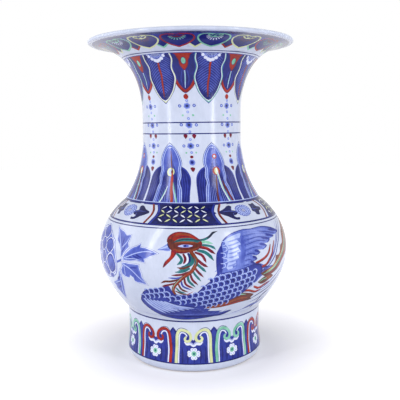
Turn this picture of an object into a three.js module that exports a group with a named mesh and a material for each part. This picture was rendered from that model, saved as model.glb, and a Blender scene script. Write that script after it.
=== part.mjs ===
// A large porcelain vase with an open trumpet mouth, a full rounded belly and a
// drum-shaped foot. The potter throws it in five sections and joins them leather-hard
// with thin rings of slip, so it is built here as those sections and those rings.
// Units are millimetres. +Z is up and the vase stands on z = 0, centred on the Z axis.

import * as THREE from 'three';

// Driving dimensions: section heights, from the floor up
const footHeight = 73;
const lowerBellyHeight = 82.5;
const shoulderHeight = 71.5;
const neckFlareHeight = 90.5;
const lowerWaistHeight = 8.5;
const upperWaistHeight = 20;
const mouthFlareHeight = 100;
const slipThickness = 1.5;

// Driving dimensions: outer radii
const footTopRadius = 98;
const bellyRadius = 137.2;
const shoulderTopRadius = 98.4;
const neckRadius = 70.8;
const mouthRadius = 145;

// The drum of the foot, measured from its top radius: the widest line stands out,
// the waist draws in and the rim it stands on tucks under
const footSpread = 1.1;
const footPinch = 1.2;
const footTuck = 6.5;

// How much the outline spreads or draws in over the height of a slip joint
const footJointSpread = 0.6;
const neckJointTaper = 1.2;

// Driving dimensions: heights of the foot's waist and of its widest line
const footWidestHeight = 12.3;
const footWaistDrop = 36.5;

// Driving dimensions: wall thicknesses
const lipThickness = 5;
const neckWall = 6;
const neckBottomWall = 8.5;
const shoulderTopWall = 9;
const bellyWall = 6.8;
const bellyBottomWall = 13;
const floorThickness = 8;
const footTopWall = 10;
const footRimWidth = 8;
const footRimBevel = 1;

// How far each sweep runs on along its end direction before it turns, as [radial, up]
const mouthSweepStart = [0, 46];
const mouthSweepEnd = [-53.5, -3.5];
const mouthInnerSweepEnd = [-57.5, -3.5];
const neckSweepStart = [0, -47];
const neckSweepEnd = [-9.9, 15];
const shoulderSweepStart = [0, 32.3];
const shoulderSweepEnd = [17.6, -13.1];
const bellySweepStart = [0, -34.5];
const bellySweepEnd = [17.1, 20.5];
const footTopSweep = [-1.1, -6];
const footWaistSweep = 9;
const footWidestSweep = 8;
const footEdgeSweep = [0, -6];
const footRimSweep = [4, 1];

// Facets: steps round the vase, and steps along each kind of curve
const roundSteps = 60;
const longSteps = 13;
const mediumSteps = 9;
const shortSteps = 5;
const lipSteps = 6;

// Colours as fired: clear bluish glaze over white porcelain, and the joining slip
const glazeColour = 0xdde3ee;
const slipColour = 0xe6e3da;

// Heights of the joints, worked out from the sections
const footTop = footHeight;
const lowerBellyBottom = footTop + slipThickness;
const lowerBellyTop = lowerBellyBottom + lowerBellyHeight;
const shoulderBottom = lowerBellyTop + slipThickness;
const shoulderTop = shoulderBottom + shoulderHeight;
const neckBottom = shoulderTop + slipThickness;
const waistBottom = neckBottom + neckFlareHeight;
const neckTop = waistBottom + lowerWaistHeight;
const mouthBottom = neckTop + slipThickness;
const waistTop = mouthBottom + upperWaistHeight;
const rimTop = waistTop + mouthFlareHeight;

// Outer radii that follow the piece they join
const footWidestRadius = footTopRadius + footSpread;
const footWaistRadius = footTopRadius - footPinch;
const footRimRadius = footTopRadius - footTuck;
const bellyBottomRadius = footTopRadius + footJointSpread;
const neckBottomRadius = shoulderTopRadius - neckJointTaper;

// Inner radii at the joints
const footTopInner = footTopRadius - footTopWall;
const bellyBottomInner = bellyBottomRadius - bellyBottomWall;
const bellyInner = bellyRadius - bellyWall;
const shoulderTopInner = shoulderTopRadius - shoulderTopWall;
const neckBottomInner = neckBottomRadius - neckBottomWall;
const neckInner = neckRadius - neckWall;
const footRimInner = footRimRadius - footRimWidth;

// A point of an outline: radius from the axis, height above the floor
function point(radius, height) {
  return new THREE.Vector2(radius, height);
}

function moved(from, [radial, up]) {
  return point(from.x + radial, from.y + up);
}

// A smooth sweep from start to end that leaves along startPull and arrives from endPull
function sweep(start, startPull, end, endPull, steps) {
  const curve = new THREE.CubicBezierCurve(start, moved(start, startPull), moved(end, endPull), end);
  return curve.getPoints(steps);
}

// Points of a half-round lip, from its underside over the outer edge to its top
function lipArc(centreRadius, centreHeight, radius, steps) {
  const points = [];
  for (let i = 0; i <= steps; i += 1) {
    const angle = -Math.PI / 2 + (Math.PI * i) / steps;
    points.push(point(centreRadius + radius * Math.cos(angle), centreHeight + radius * Math.sin(angle)));
  }
  return points;
}

// Turns an outline about the vertical axis, dropping points that repeat their neighbour
function turned(outline) {
  const kept = outline.filter((p, i) => i === 0 || p.distanceTo(outline[i - 1]) > 1e-6);
  const geometry = new THREE.LatheGeometry(kept, roundSteps);
  geometry.rotateX(Math.PI / 2);
  return geometry;
}

function closed(outline) {
  return [...outline, outline[0].clone()];
}

// The mouth: a thrown trumpet, open right through, with a rounded lip
function trumpetMouth() {
  const lipRadius = lipThickness / 2;
  const lipCentre = point(mouthRadius - lipRadius, rimTop - lipRadius);
  const outerEnd = point(lipCentre.x, rimTop - lipThickness);
  const innerEnd = point(lipCentre.x, rimTop);
  const outline = [
    point(neckRadius, mouthBottom),
    ...sweep(point(neckRadius, waistTop), mouthSweepStart, outerEnd, mouthSweepEnd, longSteps),
    ...lipArc(lipCentre.x, lipCentre.y, lipRadius, lipSteps),
    ...sweep(innerEnd, mouthInnerSweepEnd, point(neckInner, waistTop), mouthSweepStart, longSteps),
    point(neckInner, mouthBottom),
  ];
  return turned(closed(outline));
}

// The neck: a thrown tube that spreads to meet the shoulder
function neck() {
  const outline = [
    ...sweep(point(neckBottomRadius, neckBottom), neckSweepEnd, point(neckRadius, waistBottom),
      neckSweepStart, mediumSteps),
    point(neckRadius, neckTop),
    point(neckInner, neckTop),
    ...sweep(point(neckInner, waistBottom), neckSweepStart, point(neckBottomInner, neckBottom),
      neckSweepEnd, mediumSteps),
  ];
  return turned(closed(outline));
}

// The upper half of the belly, from its widest line up to the base of the neck
function shoulder() {
  const outline = [
    ...sweep(point(bellyRadius, shoulderBottom), shoulderSweepStart,
      point(shoulderTopRadius, shoulderTop), shoulderSweepEnd, mediumSteps),
    ...sweep(point(shoulderTopInner, shoulderTop), shoulderSweepEnd,
      point(bellyInner, shoulderBottom), shoulderSweepStart, mediumSteps),
  ];
  return turned(closed(outline));
}

// The lower half of the belly, a bowl that carries the floor of the vase
function lowerBelly() {
  const floorTop = lowerBellyBottom + floorThickness;
  const outline = [
    point(0, lowerBellyBottom),
    ...sweep(point(bellyBottomRadius, lowerBellyBottom), bellySweepEnd,
      point(bellyRadius, lowerBellyTop), bellySweepStart, mediumSteps),
    ...sweep(point(bellyInner, lowerBellyTop), bellySweepStart,
      point(bellyBottomInner, floorTop), bellySweepEnd, mediumSteps),
    point(0, floorTop),
  ];
  return turned(outline);
}

// The foot: a hollow drum, open underneath, that stands on a flat unglazed rim
function foot() {
  const waist = point(footWaistRadius, footWaistDrop);
  const widest = point(footWidestRadius, footWidestHeight);
  const outline = [
    point(footRimInner + footRimBevel, 0),
    ...sweep(point(footRimRadius, 0), footRimSweep, widest, footEdgeSweep, shortSteps),
    ...sweep(widest, [0, footWidestSweep], waist, [0, -footWaistSweep], shortSteps),
    ...sweep(waist, [0, footWaistSweep], point(footTopRadius, footTop), footTopSweep, shortSteps),
    point(footTopInner, footTop),
    point(footRimInner, footRimBevel),
  ];
  return turned(closed(outline));
}

// A ring of slip that fills one joint, flush with the sections above and below it
function slipRing(bottom, outerBelow, outerAbove, innerBelow, innerAbove) {
  const top = bottom + slipThickness;
  return turned(closed([
    point(innerBelow, bottom),
    point(outerBelow, bottom),
    point(outerAbove, top),
    point(innerAbove, top),
  ]));
}

function glazed(colour) {
  return new THREE.MeshStandardMaterial({ color: colour, roughness: 0.12, metalness: 0 });
}

function piece(name, geometry, material) {
  const mesh = new THREE.Mesh(geometry, material);
  mesh.name = name;
  return mesh;
}

const footSlip = slipRing(footTop, footTopRadius, bellyBottomRadius, footTopInner, footTopInner);
const bellySlip = slipRing(lowerBellyTop, bellyRadius, bellyRadius, bellyInner, bellyInner);
const neckSlip = slipRing(shoulderTop, shoulderTopRadius, neckBottomRadius, shoulderTopInner,
  neckBottomInner);
const waistSlip = slipRing(neckTop, neckRadius, neckRadius, neckInner, neckInner);

const vase = new THREE.Group();
vase.add(
  piece('foot_ring', foot(), glazed(glazeColour)),
  piece('foot_slip_joint', footSlip, glazed(slipColour)),
  piece('lower_belly_bowl', lowerBelly(), glazed(glazeColour)),
  piece('belly_slip_joint', bellySlip, glazed(slipColour)),
  piece('shoulder_section', shoulder(), glazed(glazeColour)),
  piece('neck_slip_joint', neckSlip, glazed(slipColour)),
  piece('neck_section', neck(), glazed(glazeColour)),
  piece('waist_slip_joint', waistSlip, glazed(slipColour)),
  piece('trumpet_mouth', trumpetMouth(), glazed(glazeColour)),
);

export default vase;
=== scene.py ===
# %% [markdown]
# A porcelain vase painted in the doucai manner: soft blue washes lie under the glaze, and
# red, green and yellow enamels are laid over it. The construction model already holds the
# vase as the potter makes it, in five thrown sections joined by four thin rings of slip.
# This lesson gives each of those nine pieces its smooth turned wall and its painted skin.
# Everything is in metres, in the frame of the construction model, and the painting is
# drawn in millimetres, because a painter thinks in strokes of one or two millimetres.

# %% Load the construction frame
import math

import bmesh
import bpy
import numpy as np
from mathutils import Matrix, Vector
from mathutils.geometry import delaunay_2d_cdt


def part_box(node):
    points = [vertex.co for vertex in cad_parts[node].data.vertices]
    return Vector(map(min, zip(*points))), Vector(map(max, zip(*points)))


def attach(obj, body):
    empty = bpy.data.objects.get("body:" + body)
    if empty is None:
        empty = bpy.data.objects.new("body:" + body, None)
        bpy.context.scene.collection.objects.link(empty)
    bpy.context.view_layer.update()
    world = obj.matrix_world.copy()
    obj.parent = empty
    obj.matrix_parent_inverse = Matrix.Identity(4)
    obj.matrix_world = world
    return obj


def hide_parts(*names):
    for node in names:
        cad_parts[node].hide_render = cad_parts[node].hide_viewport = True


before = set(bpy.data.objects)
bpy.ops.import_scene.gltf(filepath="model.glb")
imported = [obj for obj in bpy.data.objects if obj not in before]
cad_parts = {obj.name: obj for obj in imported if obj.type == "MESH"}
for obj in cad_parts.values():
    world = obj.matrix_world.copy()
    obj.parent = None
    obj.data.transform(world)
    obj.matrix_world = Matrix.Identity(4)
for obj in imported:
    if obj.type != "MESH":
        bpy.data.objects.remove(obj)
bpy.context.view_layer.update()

MM = 0.001
bpy.ops.object.select_all(action="DESELECT")

# %% [markdown]
# A thrown pot is one outline turned round an axis. The heights of the joints and the
# widest radii are read from the frame, so that the painted pieces always meet where the
# construction says. Between them the outline runs in long sweeps: each leaves a joint in
# one direction and arrives at the next in another, which a cubic curve says in four points.

# %% Heights and radii of the sections
def height(node):
    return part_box(node)[1].z / MM


def widest(node):
    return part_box(node)[1].x / MM


foot_top, foot_joint_top = height("foot_ring"), height("foot_slip_joint")
belly_low, belly_joint_top = height("lower_belly_bowl"), height("belly_slip_joint")
shoulder_top, neck_joint_top = height("shoulder_section"), height("neck_slip_joint")
waist_low, waist_joint_top = height("neck_section"), height("waist_slip_joint")
mouth_top = height("trumpet_mouth")
foot_wide, foot_joint_radius = widest("foot_ring"), widest("foot_slip_joint")
belly_radius, shoulder_radius = widest("lower_belly_bowl"), widest("neck_slip_joint")
neck_low_radius, neck_radius = widest("neck_section"), widest("waist_slip_joint")
mouth_radius = widest("trumpet_mouth")
print("joint heights, mm:", [round(z, 1) for z in (foot_top, belly_low, shoulder_top, waist_low,
                                                   mouth_top)])

# %% [markdown]
# Each section leans into the next without a corner, except where the thrower left one: at
# the foot, at the base of the neck and where the neck opens. The lip is a round roll, so it
# is a half circle of points. The skin is then measured along itself, because the painter
# lays lines out on the surface and not by height.

# %% The outline of the outer skin, from the foot's edge to the top of the lip
def sweep(start, pull_start, end, pull_end, steps):
    """A cubic curve; the pulls are how far it runs on along its end directions."""
    t = np.linspace(0.0, 1.0, steps)[:, None]
    a, d = np.array(start, float), np.array(end, float)
    b, c = a + pull_start, d + pull_end
    return a * (1 - t) ** 3 + 3 * b * t * (1 - t) ** 2 + 3 * c * t * t * (1 - t) + d * t ** 3


lip_thickness, foot_widest_height, foot_waist_height = 5.0, 12.3, 36.5
foot_rim_radius, foot_waist_radius = foot_wide - 7.6, foot_wide - 2.3
foot_top_radius = foot_joint_radius - 0.6
waist_start, waist_end = 322.0, 352.0
bowl_low_pull, bowl_high_pull = (17.1, 20.5), (0, -34.5)
shoulder_low_pull, shoulder_high_pull = (0, 32.3), (17.6, -13.1)
neck_low_pull, neck_high_pull = (-9.9, 15), (0, -47)
mouth_low_pull = (0, 46)
lip_round = lip_thickness / 2
lip_centre = (mouth_radius - lip_round, mouth_top - lip_round)
lip_turn = np.linspace(-math.pi / 2, math.pi / 2, 15)[:, None]
lip_arc = np.hstack([lip_centre[0] + lip_round * np.cos(lip_turn),
                     lip_centre[1] + lip_round * np.sin(lip_turn)])
outline = np.vstack([
    sweep((foot_rim_radius, 0), (4, 1), (foot_wide, foot_widest_height), (0, -6), 16),
    sweep((foot_wide, foot_widest_height), (0, 8), (foot_waist_radius, foot_waist_height), (0, -9), 16),
    sweep((foot_waist_radius, foot_waist_height), (0, 9), (foot_top_radius, foot_top), (-1.1, -6), 24),
    sweep((foot_joint_radius, foot_joint_top), bowl_low_pull, (belly_radius, belly_low), bowl_high_pull,
          60),
    sweep((belly_radius, belly_joint_top), shoulder_low_pull, (shoulder_radius, shoulder_top),
          shoulder_high_pull, 60),
    sweep((neck_low_radius, neck_joint_top), neck_low_pull, (neck_radius, waist_start), neck_high_pull,
          60),
    sweep((neck_radius, waist_end), mouth_low_pull, (lip_centre[0], lip_centre[1] - lip_round),
          (-53.5, -3.5), 90),
    lip_arc[1:],
])
along = np.concatenate([[0.0], np.cumsum(np.hypot(*np.diff(outline, axis=0).T))])
skin_length, normal_reach = along[-1], 2.0


def radius_at(s):
    return np.interp(s, along, outline[:, 0])


def height_at(s):
    return np.interp(s, along, outline[:, 1])


def skin_at(z):
    """How far up the skin a height lies, below the lip, where the outline still climbs."""
    return float(np.interp(z, outline[:, 1], along))


def skin_normals(s):
    """Outward directions, averaged over a short reach, so that the joints turn softly."""
    low, high = np.clip(s - normal_reach, 0, skin_length), np.clip(s + normal_reach, 0, skin_length)
    rise = height_at(high) - height_at(low)
    spread = radius_at(high) - radius_at(low)
    size = np.hypot(rise, spread)
    return rise / size, -spread / size


joints = [skin_at(z) for z in (foot_top, foot_joint_top, belly_low, belly_joint_top,
                               shoulder_top, neck_joint_top, waist_low, waist_joint_top)]
print("skin length, mm:", round(skin_length, 1), "joints at", [round(s, 1) for s in joints])

# %% [markdown]
# The painting is a pile of strokes laid one over another, as the painter lays them. A
# stroke is kept as its paint and its outline, in degrees round the vase and millimetres
# up the skin. A motif is drawn in its own millimetres from its own middle line, so one
# function can paint it again all the way round. No hand repeats itself exactly, so a slow
# wander shifts every stroke a little by where it lies, and no two copies are the same.

# %% The painter's strokes
paints = ["glaze_white", "navy", "cobalt_deep", "cobalt", "cobalt_mid", "cobalt_wash", "cobalt_soft",
          "cobalt_pale", "iron_red", "crimson", "brown", "ochre", "green", "teal", "yellow",
          "enamel_white", "black", "biscuit"]
strokes = []


def smooth(points, rounds):
    """A rounder line through the points, with the two ends kept."""
    p = np.array(points, float)
    if rounds < 2 or len(p) < 3:
        return p
    before = np.vstack([2 * p[0] - p[1], p[:-2]])
    after = np.vstack([p[2:], 2 * p[-1] - p[-2]])
    made = []
    for a, b, c, d in zip(before, p[:-1], p[1:], after):
        t = np.linspace(0, 1, rounds, endpoint=False)[:, None]
        made.append(b + 0.5 * t * (c - a) + t * t * (a - 2.5 * b + 2 * c - 0.5 * d)
                    + 0.5 * t ** 3 * (3 * b - 3 * c + d - a))
    return np.vstack(made + [p[-1:]])


def moved(points, across, up=0.0):
    return [(x + across, s + up) for x, s in points]


def flipped(points, side):
    """The shape itself where side is 1, and its mirror image where side is -1."""
    return [(side * x, s) for x, s in points]


def shrunk(points, centre, wide, tall=None):
    """The same shape, smaller, round a point that stays where it is."""
    tall = tall or wide
    return [(centre[0] + (x - centre[0]) * wide, centre[1] + (s - centre[1]) * tall) for x, s in points]


print("paints on the palette:", len(paints))

# %% [markdown]
# Two marks make up everything here: a filled shape, and a line that swells and thins as a
# pointed brush does. A line is laid as a row of short four-cornered strokes, which follows
# any bend without folding over itself. A third mark, the banded line, is made by holding the
# brush still while the wheel turns, so it has one point at each column of the later net.

# %% Brush marks
wander_size, sway_size, level_reach = 0.14, 0.22, 20


class Brush:
    """Draws in a motif's own millimetres: x round the vase from its middle line, s up the skin."""

    def __init__(self, middle=0.0, flip=1.0, flat=None, drift=None):
        self.middle, self.flip, self.flat, self.drift = middle, flip, flat, drift

    def on_skin(self, points):
        p = np.array(points, float).reshape(-1, 2)
        s = p[:, 1]
        angle = self.middle + np.degrees(self.flip * p[:, 0] / (self.flat or radius_at(s)))
        if self.drift:
            angle = angle + self.drift(angle, s)
        wander = np.sin(np.radians(7 * angle) + s / 11) + np.sin(np.radians(16 * angle) - s / 6)
        sway = np.sin(np.radians(9 * angle) - s / 9)
        return np.stack([angle + wander_size * wander, s + sway_size * sway * self.loose(s)], 1)

    def loose(self, s):
        """The lip is banded on the wheel, so strokes near it stay level."""
        return np.clip((skin_length - level_reach - s) / level_reach, 0, 1)

    def fill(self, paint, points, rounds=1, mirror=False):
        """A filled shape. A mirrored one is given as its right half, from the top down."""
        half = smooth(points, rounds)
        if mirror:
            half = np.vstack([half, (half * (-1, 1))[::-1]])
        lay(paint, self.on_skin(half))

    def shape(self, paint, points, rounds):
        """A filled shape whose rounded outline closes on itself."""
        self.fill(paint, points + points[:1], rounds)

    def line(self, paint, points, width, start=1.0, end=1.0, rounds=4):
        """A brush line; start and end say how much of its width is left at its two ends."""
        p = smooth(points, rounds)
        way = np.gradient(p, axis=0)
        way /= np.maximum(np.hypot(way[:, 0], way[:, 1]), 1e-9)[:, None]
        t = np.linspace(0, 1, len(p))
        swell = np.minimum(1, np.minimum(start + t * 4 * (1 - start), end + (1 - t) * 4 * (1 - end)))
        half = (0.5 * width * swell)[:, None] * np.stack([-way[:, 1], way[:, 0]], 1)
        left, right = self.on_skin(p + half), self.on_skin(p - half)
        for i in range(len(p) - 1):
            corners = np.array([right[i], right[i + 1], left[i + 1], left[i]])
            middle = corners.mean(axis=0)
            around = np.arctan2(corners[:, 1] - middle[1], corners[:, 0] - middle[0])
            lay(paint, corners[np.argsort(around)])

    def dot(self, paint, x, s, across, tall=None, sides=12):
        a = np.linspace(0, 2 * math.pi, sides, endpoint=False)
        tall = tall or across
        lay(paint, self.on_skin(np.stack([x + across * np.cos(a), s + tall * np.sin(a)], 1)))


same_point = 0.005


def lay(paint, shape):
    """Keeps one closed stroke, and its copy where it crosses the seam at the back."""
    shape = shape[np.abs(shape - np.roll(shape, 1, axis=0)).max(axis=1) > same_point]
    x, y = shape[:, 0], shape[:, 1]
    if np.dot(x, np.roll(y, -1)) < np.dot(y, np.roll(x, -1)):
        shape = shape[::-1]
    for shift in (-360.0, 0.0, 360.0):
        if (x + shift).max() > -180 and (x + shift).min() < 180:
            strokes.append((paints.index(paint), shape + (shift, 0)))


columns = 192
column_angles = np.linspace(-180, 180, columns + 1)


def band(paint, low, high):
    """A line banded on the turning wheel, right round the vase."""
    there = np.stack([column_angles, np.full_like(column_angles, low)], 1)
    back = np.stack([column_angles[::-1], np.full_like(column_angles, high)], 1)
    strokes.append((paints.index(paint), np.concatenate([there, back])))


print("columns round the vase:", columns)

# %% [markdown]
# The drum of the foot carries eleven upright panels on a blue ground. Each has two legs
# that curl over at the top like the head of a sceptre, a small white cloud under the
# curls and a white flower below it. The colours run yellow, green and red. One panel is
# one function, and a blue spike stands between each two.

# %% Panels of the foot
foot_panels, foot_ground_low = 11, 17.0


def foot_panel(middle, colour):
    b = Brush(middle)
    b.fill("cobalt", [(24.5, foot_ground_low), (24, 56), (20, 63), (12, 63), (5, 57), (3, 52), (0, 49)],
           4, True)
    for x in (-16, -9, 0, 9, 16):
        b.line("cobalt_deep", [(x, 18), (x + 0.8, 28), (x, 40)], 2.2, start=0.6, end=0.2)
    white_line = [(21, 17.5), (20.2, 40), (19.2, 55), (16.2, 60), (11.5, 59), (8.8, 55)]
    dark_line = [(26.4, 17.2), (25.6, 42), (24.2, 58), (19, 66), (11, 65.6), (4, 60)]
    leg = [(24.2, 17.2), (23.4, 40), (22, 57), (17.5, 63.4), (11, 63), (5.4, 59), (3.4, 53.4),
           (5.2, 48.4), (9.8, 47.8), (12, 51.4), (9.8, 54.4)]
    for side in (1, -1):
        b.line("enamel_white", flipped(white_line, side), 1.7)
        b.line("cobalt_deep", flipped(dark_line, side), 0.8)
        b.line(colour, flipped(leg, side), 3.9, end=0.7)
        b.line("cobalt_deep", flipped([(7.6, 53.6), (8.8, 51.2)], side), 1.6, rounds=1)
    b.line("enamel_white", [(-12.5, 47), (-9, 43.6), (-4, 44.6), (0, 41.6), (4, 44.6), (9, 43.6),
                            (12.5, 47)], 3.8, start=0.3, end=0.3)
    b.line("cobalt_soft", [(-9, 45.2), (-4, 45.6), (0, 43.2), (4, 45.6), (9, 45.2)], 0.8, start=0.3,
           end=0.3)
    for petal in range(4):
        for side in (-17, 17):
            a = math.radians(90 * petal + side)
            b.dot("enamel_white", 6.4 * math.sin(a), 30.5 + 5.6 * math.cos(a), 2.6)
            b.dot("cobalt_pale", 6.6 * math.sin(a), 30.5 + 5.8 * math.cos(a), 1.0, sides=8)
    b.dot("enamel_white", 0, 30.5, 4.6)
    b.dot("green", 0, 30.5, 3.6)
    b.dot("teal", 0, 30.5, 1.7)


def foot_spike(middle):
    b = Brush(middle)
    b.fill("cobalt_deep", [(0, 67.5), (2.6, 64.5), (5.6, 60.5), (5.2, 45), (5.2, foot_ground_low)], 1,
           True)
    b.fill("cobalt", [(0, 64.5), (2.8, 60), (3.4, 45), (3.4, foot_ground_low)], 1, True)


for k in range(foot_panels):
    foot_spike(360 / foot_panels * (k + 0.5))
for k in range(-(foot_panels // 2), foot_panels // 2 + 1):
    foot_panel(360 / foot_panels * k, ("yellow", "green", "iron_red")[k % 3])
band("cobalt_deep", 15.6, 17.4)
band("biscuit", -1, 3.0)
band("cobalt_deep", 74.8, 77.0)
band("cobalt_soft", 86.0, 86.5)
print("strokes after the foot:", len(strokes))

# %% [markdown]
# The trumpet and the neck carry eight units of leaves. Short leaves and long leaves hang
# from a double line under the mouth, strings of beads hang from the short ones, and tall
# leaves stand up from the base of the neck to meet them. A painter divides a round pot by
# eye, so the units lean a little on the way up and crowd a little to one side.

# %% Spacing and outlines of the leaves
neck_units = 8
unit_angle = 360 / neck_units


def neck_drift(angle, s):
    lean = np.interp(s, [260, 308, 405, 475], [2.0, 1.5, -5.0, -6.0])
    crowd = np.interp(s, [260, 400, 440, 475], [0.0, 3.3, 3.3, 0.0])
    return lean + crowd * np.sin(np.radians(angle))


tip_inset, least_half = 1.9, 0.5


def inset(half, d):
    """The right half of a mirrored outline, drawn in by d; the last point is its tip."""
    tip = half[-1][1]
    towards_root = 1 if half[0][1] > tip else -1
    kept = [(x, s) for x, s in moved(half[:-1], -d) if x > least_half]
    return kept + [(0, tip + towards_root * tip_inset * d)]


def mirrored(brush, paint, points, width, **ends):
    for side in (1, -1):
        brush.line(paint, flipped(points, side), width, **ends)


print("leaf units:", neck_units, "of", unit_angle, "degrees")

# %% [markdown]
# The short leaf is nearly all dark blue, with a red edge round its point and a red crest
# over it that holds one green drop. Under each hangs a string of beads, in the order of a
# jade pendant: single rings, a flower with a bead at each side, and red drops in pairs.

# %% Short leaves with a red crest, and their string of beads
short_leaf_half = [(17, 469), (15.5, 452), (14.5, 440), (13.6, 429), (10.4, 419.5), (5, 412.4), (0, 409)]


def short_leaf(middle):
    b = Brush(middle, drift=neck_drift)
    b.fill("cobalt", short_leaf_half, 4, True)
    b.fill("cobalt_deep", inset(short_leaf_half, 1.3), 4, True)
    mirrored(b, "cobalt", [(3, 440), (5, 428), (3.4, 419)], 1.6, start=0.2, end=0.2)
    mirrored(b, "crimson", [(13.2, 432), (11.8, 426), (8.4, 419), (3.6, 413.6), (0, 411)], 3.9, start=0.4)
    mirrored(b, "iron_red", [(12.8, 431), (11.5, 425.6), (8.2, 419.4), (3.6, 414.4), (0, 411.8)], 2.6,
             start=0.4)
    crest = [(18, 470), (16.6, 465.4), (11, 462.8), (8.6, 457.6), (6.2, 453), (5.6, 448), (3.6, 443.6),
             (0, 438.6)]
    b.fill("crimson", crest, 3, True)
    b.fill("iron_red", inset(crest, 0.9), 3, True)
    for side in (1, -1):
        b.dot("crimson", side * 8.4, 465.3, 2.4, 1.5)
    b.dot("cobalt_deep", 0, 453, 3.5, 5.4)
    b.dot("green", 0, 453, 2.8, 4.6)
    b.line("cobalt_pale", [(0, 439), (0.2, 429), (0, 416)], 1.5, end=0.4)
    b.line("green", [(0.1, 438), (0.2, 429), (0, 420)], 0.7, end=0.4)


def bead(b, x, s, size, ring="cobalt_soft"):
    b.dot(ring, x, s, size)
    b.dot("cobalt_pale", x, s, size * 0.5, sides=8)


def bead_string(middle):
    b = Brush(middle, drift=neck_drift)
    b.fill("iron_red", [(0.4, 408.6), (2.6, 406.5), (2.9, 403.8), (1.4, 401.6), (0, 401.4)], 3, True)
    for s in (399.4, 384.2, 375.4, 358.2, 348.0, 330.2):
        bead(b, 0.4, s, 1.9)
    for s, wide, tall in ((392.3, 9.4, 2.2), (367.0, 9.6, 2.2), (339.2, 8.6, 2.1)):
        for petal in range(6):
            a = math.radians(60 * petal + 15)
            b.dot("cobalt_soft", 2.7 * math.cos(a), s + 2.7 * math.sin(a), 2.0, sides=8)
        b.dot("cobalt_mid", 0, s, 2.9)
        b.dot("black", 0, s, 1.5, sides=8)
        for side in (1, -1):
            bead(b, side * wide, s + 0.3, tall, ring="cobalt_mid")
    for size, paint in ((4.3, "cobalt_soft"), (2.9, "cobalt_mid"), (1.9, "cobalt_deep")):
        b.dot(paint, 0, 317, size)
    for side in (1, -1):
        b.dot("green", side * 6.7, 379.8, 1.5, sides=8)
        b.dot("green", side * 6.4, 330, 1.3, sides=8)
        drop = ((0, 348.6), (2.2, 351.4), (2.7, 353.6), (1.4, 354.9), (-1.4, 354.9), (-2.7, 353.6),
                (-2.2, 351.4))
        b.fill("crimson", moved(drop, side * 5.6), 2)
    b.dot("crimson", 0, 324.2, 2.4, 2.0)
    b.fill("crimson", [(3.1, 309.8), (2.4, 307), (0, 304.2), (-2.4, 307), (-3.1, 309.8), (0, 310.8)], 2)


print("points on half a short leaf:", len(short_leaf_half))

# %% [markdown]
# The long leaf overlaps the short ones. Its edge swings in and out and is drawn twice, in
# colour and in white, and the dark blade has fine veins that leave the red middle rib at a
# steep angle. A scalloped white collar hides its root, where a fan of pale strokes opens.

# %% Long leaves with veins
long_leaf_half = [(21, 469), (21.5, 456), (18, 444), (20, 431), (17.6, 421), (14, 412), (7.2, 402.4),
                  (0, 395)]


def long_leaf(middle, colour):
    b = Brush(middle, drift=neck_drift)
    b.fill("cobalt", long_leaf_half, 4, True)
    b.fill(colour, inset(long_leaf_half, 0.7), 4, True)
    b.fill("enamel_white", inset(long_leaf_half, 1.7), 4, True)
    b.fill("cobalt_deep", inset(long_leaf_half, 2.4), 4, True)
    edge_s, edge_x = [s for _, s in long_leaf_half[::-1]], [x for x, _ in long_leaf_half[::-1]]
    for root in np.arange(467, 405, -3.6):
        for side in (1, -1):
            reach = max(1.5, float(np.interp(root - 9, edge_s, edge_x)) - 4.5)
            vein = flipped([(1.5, root), (0.5 * reach + 0.7, root - 0.3 * reach),
                            (reach, root - 0.7 * reach)], side)
            b.line("cobalt", vein, 1.9, end=0.4, rounds=2)
            b.line("cobalt_mid", moved(vein, 0, -0.5), 0.8, end=0.5, rounds=2)
    b.line("brown", [(0.8, 453), (-0.2, 444), (0.2, 434), (-0.9, 422), (-0.7, 404)], 3.0, end=0.5)
    b.line("iron_red", [(0.9, 452), (-0.1, 443), (0.3, 433), (-0.8, 421), (-0.6, 408)], 1.7, end=0.4)
    for paint, size in (("cobalt_soft", 1.15), ("enamel_white", 1.0)):
        for side in (1, -1):
            for x, s, r in ((12.6, 465.4, 2.1), (10.6, 461.2, 2.3), (6.8, 457.2, 2.5), (3.0, 454.6, 2.4)):
                b.dot(paint, side * x, s, r * size)
        b.dot(paint, 0, 453.6, 2.5 * size)
    b.fill("cobalt_mid", [(11.8, 470), (10.6, 464.6), (7.4, 460), (3.6, 457.6), (0, 456.8)], 3, True)
    b.fill("cobalt_deep", [(9.6, 470), (8.2, 464.6), (5, 461.6), (0, 460.4)], 3, True)
    for k in range(-4, 5):
        b.line("cobalt_pale", [(1.3 * k, 464.4), (2.4 * k, 457.6 + 0.62 * abs(k))], 0.7, rounds=1)


for k in range(neck_units):
    short_leaf(unit_angle * k)
    bead_string(unit_angle * k)
for k in range(neck_units):
    long_leaf(unit_angle * (k + 0.5), ("green", "yellow")[k % 2])
band("glaze_white", 464.4, 470.8)
band("cobalt", 464.2, 465.2)
band("cobalt_deep", 467.3, 468.6)
print("strokes after the hanging leaves:", len(strokes))

# %% [markdown]
# Under the wide lip a collar of heart-shaped heads overlaps a second row, of which only
# the points show. Each head has a coloured outline and a small fan of strokes that hangs
# from two curls. There are sixteen, coloured red, green and yellow in turn.

# %% Heads under the lip
lip_heads, lip_heads_turn = 16, -7.4
head_half = [(0, 502.5), (6.5, 505), (14, 504.5), (20, 501.5), (22.4, 495.5), (21, 489), (16, 482.5),
             (9, 477.3), (0, 473.3)]


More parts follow.
